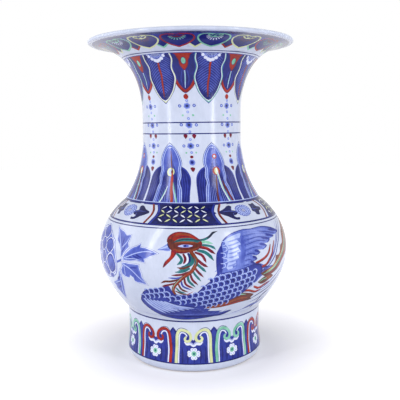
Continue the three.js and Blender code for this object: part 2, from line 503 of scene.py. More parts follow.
def lip_head(middle, colour, fan, curl):
    b = Brush(middle)
    b.fill(colour, head_half, 3, True)
    b.fill("cobalt_deep", shrunk(head_half, (0, 491), 0.9, 0.86), 3, True)
    for turn_by in range(-4, 5):
        a = math.radians(20 * turn_by)
        far = 10.2 - 0.25 * abs(turn_by)
        spoke = [(d * 1.25 * math.sin(a), 497.5 - d * math.cos(a)) for d in (5.4, far)]
        b.line(fan, spoke, 1.5, start=0.6, end=0.8, rounds=1)
    mirrored(b, curl, [(0, 494.5), (5, 496), (9.5, 499.5), (8, 502.2), (4.6, 501.6), (4.4, 499.4)], 1.7,
             end=0.6)
    b.dot(curl, 0, 496.5, 2.2, 1.6)


def lip_point(middle, colour):
    b = Brush(middle)
    b.fill(colour, [(14, 486), (9, 479.6), (0, 472.3)], 1, True)
    b.fill("cobalt_deep", [(14, 490), (8.6, 482.2), (0, 475.2)], 1, True)


band("cobalt", 486.0, 508.5)
band("cobalt_deep", 504.6, 513.6)
head_colours = [("iron_red", "green", "crimson"), ("green", "enamel_white", "green"),
                ("yellow", "brown", "yellow")]
places = range(-lip_heads // 2, lip_heads // 2)
order = {k: 2 if k == places[-1] else k % 3 for k in places}
for k in places:
    lip_point(lip_heads_turn + 360 / lip_heads * (k + 0.5), ("yellow", "iron_red", "green")[order[k]])
for k in places:
    lip_head(lip_heads_turn + 360 / lip_heads * k, *head_colours[order[k]])
print("strokes after the lip:", len(strokes))

# %% [markdown]
# At the base of the neck tall leaves stand in two layers. The front ones have scalloped
# edges with a pale double line and a ribbed middle, in two patterns that take turns. The
# dark ones behind nearly touch, and leave a slim white gap between each two.

# %% Standing leaves
standing_half = [(22.6, 258), (18.6, 280), (15.2, 289.5), (16.2, 298), (14.4, 308), (15.6, 316),
                 (13, 327), (7.5, 336.5), (0, 344)]


def back_leaves(gap_middle, gap_low, gap_high):
    b = Brush(gap_middle, drift=neck_drift)
    for side in (1, -1):
        shape = [(gap_low, 258), (0.5 * gap_low + 0.5 * gap_high, 276), (gap_high, 292),
                 (gap_high + 1.2, 300), (gap_high + 5, 306.5), (gap_high + 11, 311), (26, 316),
                 (32, 290), (32, 258)]
        b.fill("cobalt", flipped(shape, side), 3)
        b.fill("cobalt_deep", flipped(moved(shape, 1.3, -1.6), side), 3)
        for k in range(3):
            streak = [(gap_low + 4 + 3.2 * k, 260), (gap_high + 4.5 + 3.2 * k, 284),
                      (gap_high + 6.5 + 3.2 * k, 303)]
            b.line("cobalt", flipped(streak, side), 1.4, start=0.4, end=0.2)


def ribbed_leaf(middle, pattern):
    b = Brush(middle, drift=neck_drift)
    for d, paint in ((0.0, "cobalt_deep"), (0.6, "cobalt_pale"), (1.7, "cobalt_mid"),
                     (3.2, "cobalt_pale"), (4.1, "cobalt_mid")):
        b.fill(paint, inset(standing_half, d), 4, True)
    for side in (1, -1):
        for k in range(5):
            x = 2.6 + 2.9 * k
            rib = flipped([(x, 259), (0.72 * x + 0.6, 284), (0.55 * x + 0.8, 320 - 4 * k)], side)
            b.line("cobalt_deep", rib, 1.7, start=0.6, end=0.2)
            b.line("cobalt_soft", moved(rib, side * 1.4), 0.7, start=0.5, end=0.2)
    if pattern == "ringed":
        b.dot("iron_red", 1.6, 325, 3.4, 3.7)
        b.dot("cobalt_pale", 1.6, 325, 1.6, 1.9)
        b.dot("iron_red", 1.4, 304.5, 5.4, 6.2)
        b.dot("yellow", 1.4, 304.5, 2.6, 4.6)
        b.line("enamel_white", [(1.4, 309), (3.5, 297), (8, 276), (13.4, 259)], 2.6, start=0.4)
        b.line("green", [(2.2, 303), (4.4, 292), (9, 274), (14.2, 259)], 1.3, start=0.4)
        b.line("brown", [(0.4, 300), (-1.6, 282), (-5, 258)], 2.4, start=0.3)
        b.line("brown", [(8, 292), (13, 276), (19.5, 258)], 2.8, start=0.2)
        b.line("crimson", [(9, 284), (14, 270), (17.5, 258)], 1.2, start=0.2)
    else:
        b.dot("yellow", 0.4, 304, 5.0, 6.0)
        b.dot("cobalt_pale", 0.4, 304, 3.2, 4.2)
        b.dot("brown", 2.2, 304, 1.6, 3.0)
        b.line("enamel_white", [(-1.6, 285), (-6, 272), (-11.5, 259)], 1.7, start=0.3)
        b.line("green", [(-2.2, 284), (-7, 271), (-12.6, 259)], 0.9, start=0.3)
        b.line("green", [(5.2, 290), (9.6, 274), (14.8, 259)], 1.6, start=0.3)
        b.line("cobalt_pale", [(4.4, 290), (8.4, 274), (13.2, 259)], 1.1, start=0.3)
        b.line("brown", [(0.6, 333), (1.2, 316), (2.6, 300)], 1.5, start=0.3)
        b.line("iron_red", [(2.4, 303), (3.8, 284), (7.2, 258)], 3.8, start=0.45)


for k in range(neck_units):
    back_leaves(unit_angle * k, *((5.8, 3.4) if k % 2 == 0 else (1.6, 1.1)))
for k in range(neck_units):
    ribbed_leaf(unit_angle * (k + 0.5), ("ringed", "striped")[k % 2])
band("cobalt_pale", 260.2, 261.3)
band("cobalt_deep", 257.4, 260.2)
band("cobalt_deep", 369.7, 371.3)
band("cobalt_deep", 354.7, 356.3)
print("strokes after the neck:", len(strokes))

# %% [markdown]
# A broad band on the shoulder has four panels of a lattice of leaf-shaped strokes, called
# cash diaper, on dark blue. Between them lie four white windows, each with a flower head
# and dark lobed leaves, framed by a red line.

# %% Shoulder band
shoulder_turn, shoulder_panels = -4.7, 4
window_turn, window_middle = 43.6, 243.4
one_degree = 180 / math.pi


def lattice_panel(middle):
    b = Brush(middle, flat=one_degree)
    edge = [(24.2, 224.5), (22.2, 232), (20.6, 239), (20.6, 247), (22.2, 254), (23.4, 258)]
    b.fill("cobalt_deep", edge, 3, True)
    b.fill("cobalt", moved(edge, -0.5), 3, True)
    b.fill("navy", moved(edge, -1.9), 3, True)
    lean, step, rise, low, widest_lens = 1.0, 4.9, 7.0, 228.4, 19.9
    for row in range(4):
        for column in range(-4, 5):
            if (row + column) % 2 == 0:
                b.dot("cobalt_deep", lean + step * column, low + rise * row, 1.3, 1.9, sides=4)
                continue
            for side in (1, -1):
                a = np.array((lean + step * column, low + rise * row))
                c = np.array((lean + step * (column + side), low + rise * (row + 1)))
                if max(abs(a[0]), abs(c[0])) > widest_lens:
                    continue
                across = np.array((-side * 0.42, 0.62))
                lens = [a + 0.14 * (c - a), a + 0.5 * (c - a) + across, c - 0.14 * (c - a),
                        a + 0.5 * (c - a) - across]
                b.shape("yellow" if (row + column + side) % 4 else "enamel_white", lens, 2)
    for side in (1, -1):
        b.line("brown", flipped(moved(edge, 3.0), side), 1.4, rounds=3)
        b.line("iron_red", flipped(moved(edge, 3.8), side), 0.5, rounds=3)


left_leaves = [(-32.9, 1), (-25.8, 4), (-19.7, 8), (-15.1, 9), (-13.6, 6.5), (-15.9, 2), (-11, 0),
               (-11, -3.5), (-14.7, -5.5), (-17, -5.6), (-15, -8.6), (-11, -8.6), (-11.6, -11.6),
               (-16.6, -11.6), (-21.1, -9.4), (-24.7, -6.6), (-29.2, -4.5), (-33.4, -1.5)]
right_leaves = [(12, 8.6), (17, 7.4), (22, 8.4), (24.5, 3), (31, 0.4), (29.6, -3.8), (24.4, -4.4),
                (22, -9.6), (16, -8.6), (15.2, -5), (11.4, -2.6), (12.6, 2)]


def window_flower(middle, s, flip):
    b = Brush(middle, flip)
    for leaf, move in ((left_leaves, 0), (right_leaves, 3)):
        b.shape("navy", [(1.13 * x + move, s + 1.14 * y) for x, y in leaf], 3)
    for vein in ([(-13, -2), (-21, 0.6), (-32, 0.2)], [(-18, 0.6), (-18.4, 6.2)],
                 [(-18, -3), (-19.6, -8.8)], [(16, 1), (22, -0.4), (31, -1.6)], [(21, 0), (22, -7)],
                 [(21, 1), (22.6, 5.4)]):
        b.line("cobalt_mid", moved(vein, 0, s), 0.8, end=0.3)
    for petal in range(16):
        a = math.radians(360 / 16 * petal)
        b.dot("cobalt_mid", 10.6 * math.cos(a), s + 7.8 * math.sin(a), 2.7, 2.1)
        b.dot("cobalt_pale", 10.4 * math.cos(a), s + 7.6 * math.sin(a), 1.6, 1.2, sides=8)
    for size, paint in ((9.2, "cobalt_mid"), (7.9, "cobalt_pale"), (6.2, "cobalt_mid"),
                        (5.0, "cobalt_pale"), (3.6, "cobalt"), (2.2, "enamel_white"),
                        (1.1, "cobalt_deep")):
        b.dot(paint, 0, s, size, size * 0.76)


for k in range(shoulder_panels):
    panel_turn = shoulder_turn + 360 / shoulder_panels * k
    lattice_panel(panel_turn)
    window_flower(panel_turn + window_turn, window_middle, 1 if k % 2 == 0 else -1)
band("cobalt_deep", 223.8, 226.2)
band("cobalt_deep", 219.8, 221.2)
print("strokes after the shoulder:", len(strokes))

# %% [markdown]
# The belly carries the main scene, a phoenix beside a peony, painted once on each side.
# The scene is drawn on a sheet that is wrapped flat round the widest line of the belly:
# x is millimetres along that line. Blue outlines and washes come first, as they are
# painted on the raw clay. The red, green and ochre of the head, the barbs and the tail
# are enamels, laid on the glaze afterwards.

# %% A test for what lies inside a drawn outline
def inside(points, x, s):
    p = np.array(points, float)
    q = np.roll(p, -1, axis=0)
    crosses = (p[:, 1] > s) != (q[:, 1] > s)
    reach = p[:, 0] + (s - p[:, 1]) * (q[:, 0] - p[:, 0]) / np.where(crosses, q[:, 1] - p[:, 1], 1.0)
    return bool((crosses & (x < reach)).sum() % 2)


print("widest line of the belly, mm:", round(math.tau * belly_radius, 1))

# %% [markdown]
# The peony is a round head of bulging petals, each with its own outline, a thin line of bare
# white inside that and a wash that is darkest at the rim. Its four leaves are cut into
# points. Short dark strokes branch off each rib, only where they still fall on the leaf.

# %% The peony and its leaves
flower_outline = [(-150, 214.5), (-137, 208), (-129, 201), (-120, 196), (-116.5, 184), (-113.5, 168),
                  (-116, 155), (-125, 146.5), (-140, 141.5), (-158, 141.5), (-172, 150), (-183, 165),
                  (-187, 185), (-183, 202), (-168, 213)]
petals = [((-134, 188.5), 11.5, 9.5, 0), ((-129.5, 164.5), 11.5, 13.5, 8), ((-152, 206), 12, 9, -14),
          ((-154.5, 188), 9, 9, 0), ((-152, 170.5), 8.5, 8.5, 0), ((-149, 152.5), 12, 9, -14),
          ((-171, 197), 8, 9, 20), ((-173, 180), 9, 9, 0), ((-170, 162), 10, 9.5, 0),
          ((-132, 146.5), 6, 3.5, 20)]
jagged_leaves = [
    ([(-127, 218), (-119.7, 215), (-107, 211.5), (-99, 207), (-89.8, 208.5), (-89.8, 204), (-92.2, 196.5),
      (-89.8, 191), (-95, 186), (-99, 181), (-104.2, 174), (-106, 184), (-110.2, 193), (-117.3, 198),
      (-119.7, 206), (-122.6, 212)],
     [(-105, 177), (-106, 190), (-114, 204), (-122, 214)], [(-103, 190), (-96, 198), (-93, 205)]),
    ([(-105.4, 173.5), (-100.6, 180.5), (-93.4, 187), (-85, 193), (-78, 195.4), (-71, 200),
      (-71.6, 194.6), (-62.3, 194), (-52.7, 191.5), (-43.5, 187), (-51.5, 184), (-58.7, 180),
      (-63.8, 178), (-62.5, 173), (-69.4, 173.8), (-76.6, 175), (-88.6, 172.8), (-98, 172.5)],
     [(-104, 174), (-88.6, 180.5), (-77.8, 185), (-62.3, 188.6), (-48, 187.4)],
     [(-96, 175.6), (-82, 177.4), (-68, 176.4)]),
    ([(-104.2, 171), (-96, 171.4), (-88.6, 171), (-79, 171.4), (-71.4, 171), (-71.4, 166.6), (-68.2, 160),
      (-67, 153), (-61, 142.5), (-70.6, 144), (-76, 143.8), (-82.6, 146), (-82.6, 150), (-91, 154.4),
      (-92.4, 149.4), (-101, 150), (-107, 153.5), (-107.4, 160), (-103, 166)],
     [(-101, 168.4), (-88, 163), (-77, 155), (-65, 145.4)], [(-98, 167), (-98.4, 158), (-99, 152.4)]),
    ([(-109, 161.5), (-106.6, 153.5), (-106.6, 144.5), (-109, 132), (-114.9, 118.5), (-121.4, 107),
      (-127, 112), (-129.3, 117), (-131.7, 121), (-136.5, 122), (-134.1, 131), (-139, 134.5), (-128, 139),
      (-119, 143), (-113.4, 151)],
     [(-109.6, 156), (-113, 140), (-119, 124), (-123, 112)], [(-114, 141), (-124, 137), (-133, 134.4)]),
]


def jagged_leaf(b, outline_points, rib, branch):
    centre = np.mean(outline_points, axis=0)
    for share, paint in ((1.0, "cobalt_mid"), (0.965, "enamel_white"), (0.9, "cobalt_wash"),
                         (0.76, "cobalt_mid")):
        b.fill(paint, shrunk(outline_points, centre, share))
    ribs = smooth(rib, 4)
    for k in range(2, len(ribs) - 3, 2):
        root = ribs[k]
        way = ribs[k + 1] - root
        way = way / np.hypot(*way)
        for side in (1, -1):
            across = np.array((-way[1], way[0])) * side
            if inside(outline_points, *(root + 11 * across + 11 * way)):
                b.line("cobalt", [root + 1.2 * across, root + 4.6 * across + 3.4 * way,
                                  root + 8.5 * across + 9 * way], 2.2, start=0.9, end=0.15)
    b.line("cobalt_pale", rib, 1.3, end=0.35)
    b.line("cobalt_pale", branch, 1.0, end=0.3)


def peony(middle):
    b = Brush(middle, flat=belly_radius)
    b.line("cobalt_mid", [(-117, 168), (-111, 170), (-104, 173)], 3.0)
    for share, paint in ((1.0, "cobalt_mid"), (0.965, "enamel_white"), (0.92, "cobalt_wash")):
        b.shape(paint, shrunk(flower_outline, (-150, 178), share), 3)
    for (x, s), wide, tall, lean in petals:
        a = np.linspace(0, 2 * math.pi, 20, endpoint=False)
        bulge = 1 + 0.05 * np.cos(4 * a + lean)
        u, v = wide * np.cos(a) * bulge, tall * np.sin(a) * bulge
        c, d = math.cos(math.radians(lean)), math.sin(math.radians(lean))
        for share, paint in ((1.14, "cobalt_mid"), (1.06, "enamel_white"), (0.96, "cobalt"),
                             (0.76, "cobalt_mid")):
            b.fill(paint, np.stack([x + share * (c * u - d * v), s + share * (d * u + c * v)], 1))
        for k in (-1, 0, 1):
            streak = [(x + 0.3 * wide * k, s - 0.62 * tall), (x + 0.42 * wide * k, s + 0.35 * tall)]
            b.line("cobalt", streak, 2.4, start=0.8, end=0.2, rounds=1)
    for leaf in jagged_leaves:
        jagged_leaf(b, *leaf)


print("petals and leaves of one peony:", len(petals), len(jagged_leaves))

# %% [markdown]
# The body runs from the breast at the left to the root of the tail. Scales cover its back
# in slanting rows: a dark hollow each, and a pale curl round it that thins at both ends.
# The breast and the belly have no scales but long soft feathers, light in front and dark
# under the body.

# %% Outlines of the phoenix's body and wing
body = [(-80, 123), (-74, 131), (-66, 136), (-54, 138), (-42, 142), (-32, 145), (-29, 140), (-24, 132),
        (-8, 131), (5, 134), (14, 144), (24, 152), (30, 159), (34, 166), (37, 172), (60, 176), (80, 170),
        (98, 166), (103, 155), (97, 148), (91, 141), (83, 134), (73, 126), (60, 119), (44, 113),
        (26, 109), (17, 105.5), (28, 102.5), (24, 99.5), (36, 98), (48, 97), (41, 93.5), (54, 94.5),
        (67, 96), (62, 91.5), (48, 88), (32, 85.5), (12, 82.5), (-8, 80), (-26, 80), (-45, 83), (-60, 88),
        (-73, 96), (-81, 106), (-84, 115)]
scaled = [(-80, 122), (-66, 134), (-50, 137), (-33, 141), (-24, 131), (5, 132), (17, 144), (34, 162),
          (36, 168), (60, 169), (80, 165), (95, 160), (98, 155), (90, 143), (73, 127), (47, 114),
          (22, 109), (2, 111), (-20, 118), (-40, 123), (-52, 124), (-64, 122), (-74, 119)]
wing = [(33, 160), (34.5, 172), (35.9, 183), (37.1, 195), (40.7, 203.5), (50.3, 210), (61, 213.5),
        (76.6, 215.8), (90, 215), (105.4, 216), (119.7, 215), (135.3, 211.5), (145, 207.5), (151, 204),
        (142, 201), (131, 202), (134.6, 199), (126, 197.8), (119, 200), (122.6, 196.6), (116, 192.5),
        (105, 194), (113.4, 189.4), (104, 185), (92, 186.6), (98, 182.4), (90, 179), (82, 181),
        (91.6, 174.6), (84, 172), (78, 173), (88.6, 169), (74, 165), (55, 162)]
pale_wing = [(43.1, 203), (49.1, 206), (58.7, 209), (70.6, 211), (67, 204.5), (62.3, 203), (67, 196),
             (61, 194.4), (65, 187), (59, 186), (62, 179), (56.4, 177.4), (58, 170.6), (53, 169.6),
             (54, 165), (49.1, 164.6), (44.3, 168), (46.7, 175), (45.5, 183), (48.4, 191), (45, 197)]
feather_tips = [(148, 204), (131, 199.4), (120, 197.2), (111, 189.8), (96, 182.8), (90, 175), (85, 169.4)]


def scales(b, region, hole):
    """Light arcs over dark hollows, in rows that follow the line of the back."""
    first, along_row, down_row = np.array((26.3, 161.0)), np.array((8.2, 1.7)), np.array((6.9, -6.9))
    out, up = np.array((0.86, 0.51)), np.array((-0.51, 0.86))
    for row in range(-8, 14):
        for step in range(-22, 14):
            middle = first + step * along_row + row * down_row
            if not inside(region, *middle) or inside(hole, *middle):
                continue

            def spot(u, v):
                return tuple(middle + u * out + v * up)

            b.shape("cobalt_deep", [spot(-2.2, 2.6), spot(0.4, 2.4), spot(1.5, 0), spot(0.2, -2.6),
                                    spot(-2.4, -2.6), spot(-1.3, -0.6), spot(-2.8, 0.4)], 2)
            curl = [spot(-3.2, 4.0), spot(0.5, 3.9), spot(2.7, 0), spot(0.5, -3.9), spot(-3.0, -4.2)]
            b.line("cobalt_wash", moved(curl, -0.5, -0.5), 2.2, start=0.5, end=0.5, rounds=2)
            b.line("cobalt_pale", curl, 1.2, start=0.4, end=0.4, rounds=2)


def phoenix_body(middle):
    b = Brush(middle, flat=belly_radius)
    b.shape("cobalt_deep", body, 2)
    b.shape("cobalt", shrunk(body, (0, 118), 0.98, 0.97), 2)
    scales(b, scaled, pale_wing)
    for k in range(7):
        root, tip = np.array((-77 + 5.6 * k, 119 - 0.3 * k)), np.array((-46 + 8 * k, 92.5 + 2.2 * k))
        bend = 0.5 * (root + tip) + (-3, -1.5)
        b.line("cobalt_soft", [root, bend, tip], 5.0, start=0.6, end=0.15)
        b.line("cobalt_pale", [root, bend, tip], 2.8, start=0.5, end=0.15)
        b.line("cobalt_deep", [root + (2.2, 1.4), bend + (2.4, 2.4), tip + (4, 1.6)], 1.3, start=0.3,
               end=0.4)
    for k in range(8):
        b.line("cobalt_deep", [(-58 + 11 * k, 88.6), (-28 + 11 * k, 87.6), (4 + 9 * k, 89 + 0.9 * k)],
               1.9, start=0.4, end=0.1)
        b.line("cobalt_mid", [(-52 + 11 * k, 92.2), (-24 + 10 * k, 91.4), (2 + 8 * k, 94 + 0.9 * k)], 1.1,
               start=0.3, end=0.1)
    for x, s in ((-30, 108), (-22, 105), (-12, 106.6), (-4, 103.6), (4, 105.6), (9, 101.6)):
        b.line("cobalt_soft", [(x, s), (x + 9, s - 2.6)], 1.2, start=0.3, end=0.2, rounds=1)
        b.line("cobalt_deep", [(x - 2, s - 2.2), (x + 8, s - 4.8)], 2.4, start=0.3, end=0.2, rounds=1)


print("points on the body and on the wing:", len(body), len(wing))

# %% [markdown]
# The wing stands up behind the neck. Its leading edge is dark with a few small curls, then
# comes a pale row of short feathers, and then the long quills, which fan out to separate
# dark tips. The quills are painted in long soft strokes over one wash.

# %% The phoenix's wing
def phoenix_wing(middle):
    b = Brush(middle, flat=belly_radius)
    b.shape("cobalt", wing, 2)
    b.shape("cobalt_wash", shrunk(wing, (64, 190), 0.945, 0.95), 2)
    b.line("cobalt", [(38, 196), (36, 184), (35.4, 172), (35, 162)], 9.0, start=0.3, end=0.8)
    b.line("cobalt_mid", [(73, 207), (71, 196), (69, 184), (66, 172)], 8.0, start=0.3, end=0.4)
    for k, (x, s) in enumerate(feather_tips):
        root = np.array((70 - 0.5 * k, 209 - 6.4 * k))
        tip = np.array((x, s))
        mid = 0.5 * (root + tip) + (0, 4.4 - 0.5 * k)
        b.line("cobalt", [0.6 * mid + 0.4 * tip + (0, 1.6), 0.3 * mid + 0.7 * tip + (0, 1.4),
                          tip + (1, 0)], 3.4, start=0.1, end=0.15)
        b.line("cobalt_soft", [root + (4, 0.4), mid + (0, 0.8), tip + (-13, 1.4)], 1.7, start=0.5,
               end=0.1)
        b.line("cobalt", [root + (2, -2.6), mid + (0, -2.6), tip + (-8, -1.6)], 1.1, start=0.3, end=0.7)
    for s, reach in ((211.5, 88), (207.6, 96), (203.4, 104)):
        b.line("cobalt_soft", [(74, s), (reach - 6, s + 1.2), (reach + 14, s)], 2.0, start=0.4, end=0.1)
    b.shape("cobalt_pale", pale_wing, 2)
    for k in range(8):
        s = 205.4 - 5.2 * k
        b.line("cobalt_soft", [(48 - 0.3 * k, s - 4.4), (56 - 0.4 * k, s - 3.4), (66 - 1.2 * k, s - 1)],
               2.2, start=0.3, end=0.4)
    for x, s in ((41.5, 199), (43, 191.4), (40.5, 184), (43, 177), (39.8, 170.6)):
        b.line("cobalt_pale", [(x - 3, s + 3.2), (x + 2.2, s + 2.4), (x + 3, s - 1.2), (x - 1.6, s - 3)],
               1.3, start=0.5, end=0.5)


print("quills with a tip of their own:", len(feather_tips))

# %% [markdown]
# The head is enamel: red crest and cap, a green brow that ends in a black plume, an ochre
# face round a long blue eye, and a red wattle. From it hangs the neck as one bent ochre
# line, and barbs in green, crimson and brown curl off both of its sides.

# %% Outlines of the phoenix's head, neck and barbs
head = [(-33.5, 203), (-32.6, 208.5), (-29, 212.5), (-23, 215.7), (-15.6, 216.4), (-6, 215), (1.2, 212),
        (7.6, 208), (12, 204.8), (13.6, 200.4), (11, 195.5), (6, 192.3), (-1, 190.3), (-10.8, 188.3),
        (-19.2, 188.8), (-25.5, 190), (-29, 195), (-31.6, 200)]
beak = [(-29.5, 202), (-34.7, 199), (-39, 196), (-46.5, 191.8), (-38.3, 191.4), (-28.4, 191)]
brow = [(-25, 201.6), (-20, 205.6), (-13.2, 207.6), (-2.4, 207.8), (6, 206), (12.4, 204.6), (7.2, 202),
        (0, 202.8), (-10.8, 203.4), (-19.4, 202.4)]
face_front = [(-33, 203), (-30.6, 206.4), (-25, 205.4), (-21, 201.4), (-22, 195), (-26, 191.6),
              (-30, 195), (-32, 200)]
wattle = [(-27.4, 191), (-27.4, 186.5), (-29.6, 182.5), (-35.4, 177), (-37.8, 169.6), (-32.3, 174),
          (-27.3, 179), (-22, 184.5), (-19.6, 190.5)]
neck_line = [(-1, 191), (4.4, 182), (5.2, 176.5), (3, 171.5), (0, 166.5), (-3.6, 163), (-8.4, 160),
             (-14.4, 155), (-19.2, 150), (-23.6, 144), (-25.6, 137), (-23.5, 131.5)]
barbs = [
    ("teal", 3.4, [(-19.6, 188.5), (-14.6, 184), (-13.2, 180), (-15.6, 176.5), (-19.8, 174)]),
    ("crimson", 3.0, [(-11, 188), (-8.6, 183), (-9.6, 178), (-11.8, 175.6)]),
    ("enamel_white", 1.8, [(-8, 187.5), (-5, 182.5), (-7, 177.5), (-10.6, 174)]),
    ("cobalt_deep", 3.4, [(-4.6, 189), (-2.6, 183), (-3.4, 177), (-8, 172.8), (-15, 171.4)]),
    ("teal", 4.4, [(-1.6, 189), (0.6, 183), (0, 177), (-4.2, 173.6), (-9.6, 171), (-15.8, 170)]),
    ("teal", 2.7, [(-1.6, 174), (-9.6, 169), (-18.4, 167)]),
    ("brown", 2.4, [(-3, 172.6), (-12, 169.6), (-20, 170.6)]),
    ("teal", 2.9, [(-3, 169.5), (-12, 165.4), (-23, 164.4)]),
    ("crimson", 2.7, [(-4, 165), (-14.4, 161), (-27.6, 160)]),
    ("cobalt_mid", 2.2, [(-11, 158.5), (-20.4, 156), (-32, 156.4)]),
    ("brown", 2.8, [(-15, 154.8), (-28, 151.4), (-36, 151), (-42.4, 148)]),
    ("crimson", 2.6, [(-20, 149), (-32, 145.8), (-41.4, 143.4)]),
    ("black", 2.7, [(7, 204.4), (16.8, 206), (23.9, 209.5), (29, 214), (36, 216)]),
    ("teal", 2.0, [(7, 203.8), (15, 205), (22, 208)]),
    ("green", 3.1, [(8, 201.4), (16.8, 202.6), (27.4, 200.3)]),
    ("teal", 2.7, [(9, 199.2), (19.2, 198.2), (26.3, 196), (30.8, 192.4)]),
    ("crimson", 3.4, [(7.4, 196.4), (18, 194.7), (24, 191), (30.6, 186.4)]),
    ("iron_red", 1.6, [(7.4, 197.2), (16, 196.2), (22, 193.6)]),
    ("teal", 3.7, [(6.4, 192.6), (15.6, 190), (22.7, 185), (28.4, 178.2)]),
    ("crimson", 3.1, [(3.6, 190), (12, 186.5), (15.8, 181.5), (18.6, 176)]),
    ("green", 1.8, [(4.2, 185.6), (10.4, 178.6)]),
    ("crimson", 3.4, [(6, 181.4), (13.2, 174.8), (20.6, 170.4)]),
    ("teal", 3.2, [(4.6, 176), (12, 169.8), (18, 163.6)]),
    ("crimson", 3.0, [(2.6, 171.6), (7.2, 164.8), (14.2, 157)]),
    ("teal", 2.7, [(0.2, 166.8), (4.8, 159.2), (10.6, 151.4)]),
    ("crimson", 2.8, [(-2.8, 163.4), (0, 153.8), (7, 146)]),
    ("teal", 3.1, [(-5.8, 160.4), (-4.4, 151.8), (3.4, 143.2)]),
    ("crimson", 2.7, [(-10.4, 157.4), (-8.4, 147.2), (1.2, 141.4)]),
    ("cobalt", 2.3, [(-14.4, 152.8), (-12, 144.2), (-1.4, 139)]),
    ("brown", 2.5, [(-18.4, 148.4), (-14.4, 139.8), (-6, 135.8)]),
    ("teal", 2.2, [(-21.4, 142.4), (-16.8, 136.2), (-8.6, 133.6)]),
    ("brown", 1.9, [(-23, 137), (-14, 132.6), (-4, 131)]),
    ("iron_red", 1.9, [(-7, 131.6), (1, 136.8)]),
]
print("barbs:", len(barbs))

# %% [markdown]
# Enamels cover what lies under them, so the head goes from the back to the front: beak,
# barbs, neck, wattle, cap, face, brow and last the eye.

# %% Painting the head
def phoenix_head(middle):
    b = Brush(middle, flat=belly_radius)
    b.shape("cobalt_soft", beak, 2)
    b.line("cobalt_pale", [(-32, 196.6), (-38, 194.6), (-44, 192.4)], 1.6, end=0.3)
    b.line("cobalt_mid", [(-30, 192.6), (-38, 192.2), (-45, 192)], 0.9, end=0.3)
    for paint, width, route in barbs:
        b.line(paint, route, width * 1.1, start=0.7, end=0.12)
    b.line("brown", neck_line, 5.2, start=0.9, end=0.6)
    b.line("ochre", neck_line, 3.0, start=0.9, end=0.6)
    b.line("green", moved(neck_line[6:11], -0.7, 0.4), 0.8, start=0.3, end=0.3)
    b.line("teal", [(2.4, 184), (4.6, 178), (3.4, 173)], 1.4, start=0.3, end=0.3)
    b.line("iron_red", moved(neck_line[4:-1], 1.2, 0.9), 1.5, start=0.4, end=0.4)
    b.shape("crimson", wattle, 3)
    b.line("iron_red", [(-24, 190), (-25, 186), (-28.6, 180.6), (-34, 175.4)], 3.6, start=1.0, end=0.3)
    b.shape("crimson", head, 3)
    b.shape("iron_red", shrunk(head, (-10, 202), 0.92, 0.89), 3)
    for route in ([(-30, 205), (-24, 210.6), (-14, 212.8)], [(-22, 207.6), (-12, 210), (0, 208.6)],
                  [(-28, 198), (-26, 194), (-20, 191)]):
        b.line("crimson", route, 1.7, start=0.3, end=0.2)
    b.line("ochre", [(-26, 208.4), (-18, 213), (-8, 212.8), (-1, 210.2)], 2.4, start=0.3, end=0.2)
    b.line("ochre", [(-28, 200), (-30, 205), (-27, 209)], 1.6, start=0.3, end=0.2)
    b.shape("brown", [(-25, 200.4), (-14, 203.2), (-2, 203.6), (8, 202.4), (12, 198.6), (6, 194.4),
                      (-6, 192.4), (-17, 192.6), (-24, 195.6)], 3)
    b.shape("brown", face_front, 3)
    b.line("navy", [(-32.6, 201), (-31.4, 197), (-28.6, 193)], 1.5, start=0.3, end=0.3)
    b.shape("teal", brow, 3)
    b.line("black", [(-27, 200.6), (-14, 205.6), (0, 205.8), (11, 204.6)], 1.3, start=0.2, end=0.6)
    b.line("ochre", [(-23, 201), (-13, 202.6), (0, 202.4), (9, 201)], 1.7, start=0.3, end=0.3)
    b.line("ochre", [(-24, 193), (-12, 191.4), (0, 192.4), (9, 196)], 2.7, start=0.3, end=0.3)
    b.shape("crimson", [(-20.8, 197.4), (-14.4, 200), (-6, 200.4), (3.6, 198.4), (-2.4, 195.2),
                        (-10.8, 195), (-17, 195.6)], 2)
    b.shape("cobalt_pale", [(-18.6, 197.3), (-13.4, 199.1), (-6.6, 199.5), (2, 198.3), (-2.8, 196.2),
                            (-10.8, 195.9), (-16, 196.4)], 2)
    b.dot("cobalt_mid", -7.4, 197.8, 4.2, 1.6)
    b.dot("cobalt_deep", -8.6, 197.8, 1.9, 1.4)


print("points on the head and on the brow:", len(head), len(brow))

# %% [markdown]
# The tail sweeps up round the right side of the belly. It has three broad brown plumes
# with a green and an ochre line along them, red streamers between, and a sheaf of fine
# blue lines that follow the same sweep and fade towards their ends.

# %% Outlines and lines of the phoenix's tail
plume_a = [(100, 152), (107.8, 155.5), (117.3, 157), (127, 161), (132, 166.5), (133, 172), (141, 171.5),
           (146.5, 176), (149, 183), (156, 185), (160, 191), (164, 199.5), (174, 206), (186, 214),
           (196, 219), (204, 216), (200, 210.5), (196, 205), (198, 198.5), (195, 193), (193, 187),
           (189, 181), (182, 174), (174, 169), (165, 165), (156, 161), (149, 156), (141, 151),
           (130.5, 148), (120.9, 146.6), (110.2, 146.6)]
plume_b = [(98, 140), (104, 144), (112.5, 146.9), (125.7, 147), (133.4, 142.4), (124.5, 139.6),
           (117.3, 136.6), (108.6, 135.4), (103, 137)]
plume_c = [(10, 106), (26.3, 108.4), (37.1, 111.4), (52.7, 119.6), (69.4, 127), (81.4, 126),
           (99.4, 120.4), (95.4, 114.6), (99, 110.4), (79, 110), (63.5, 108.2), (44.3, 105.2),
           (26, 104.6)]
wisp = [(88, 90.5), (100, 96.5), (112, 99.5), (124, 99.5), (136, 103.5), (150, 113), (142, 103),
        (130, 96), (116, 94), (102, 92.4)]
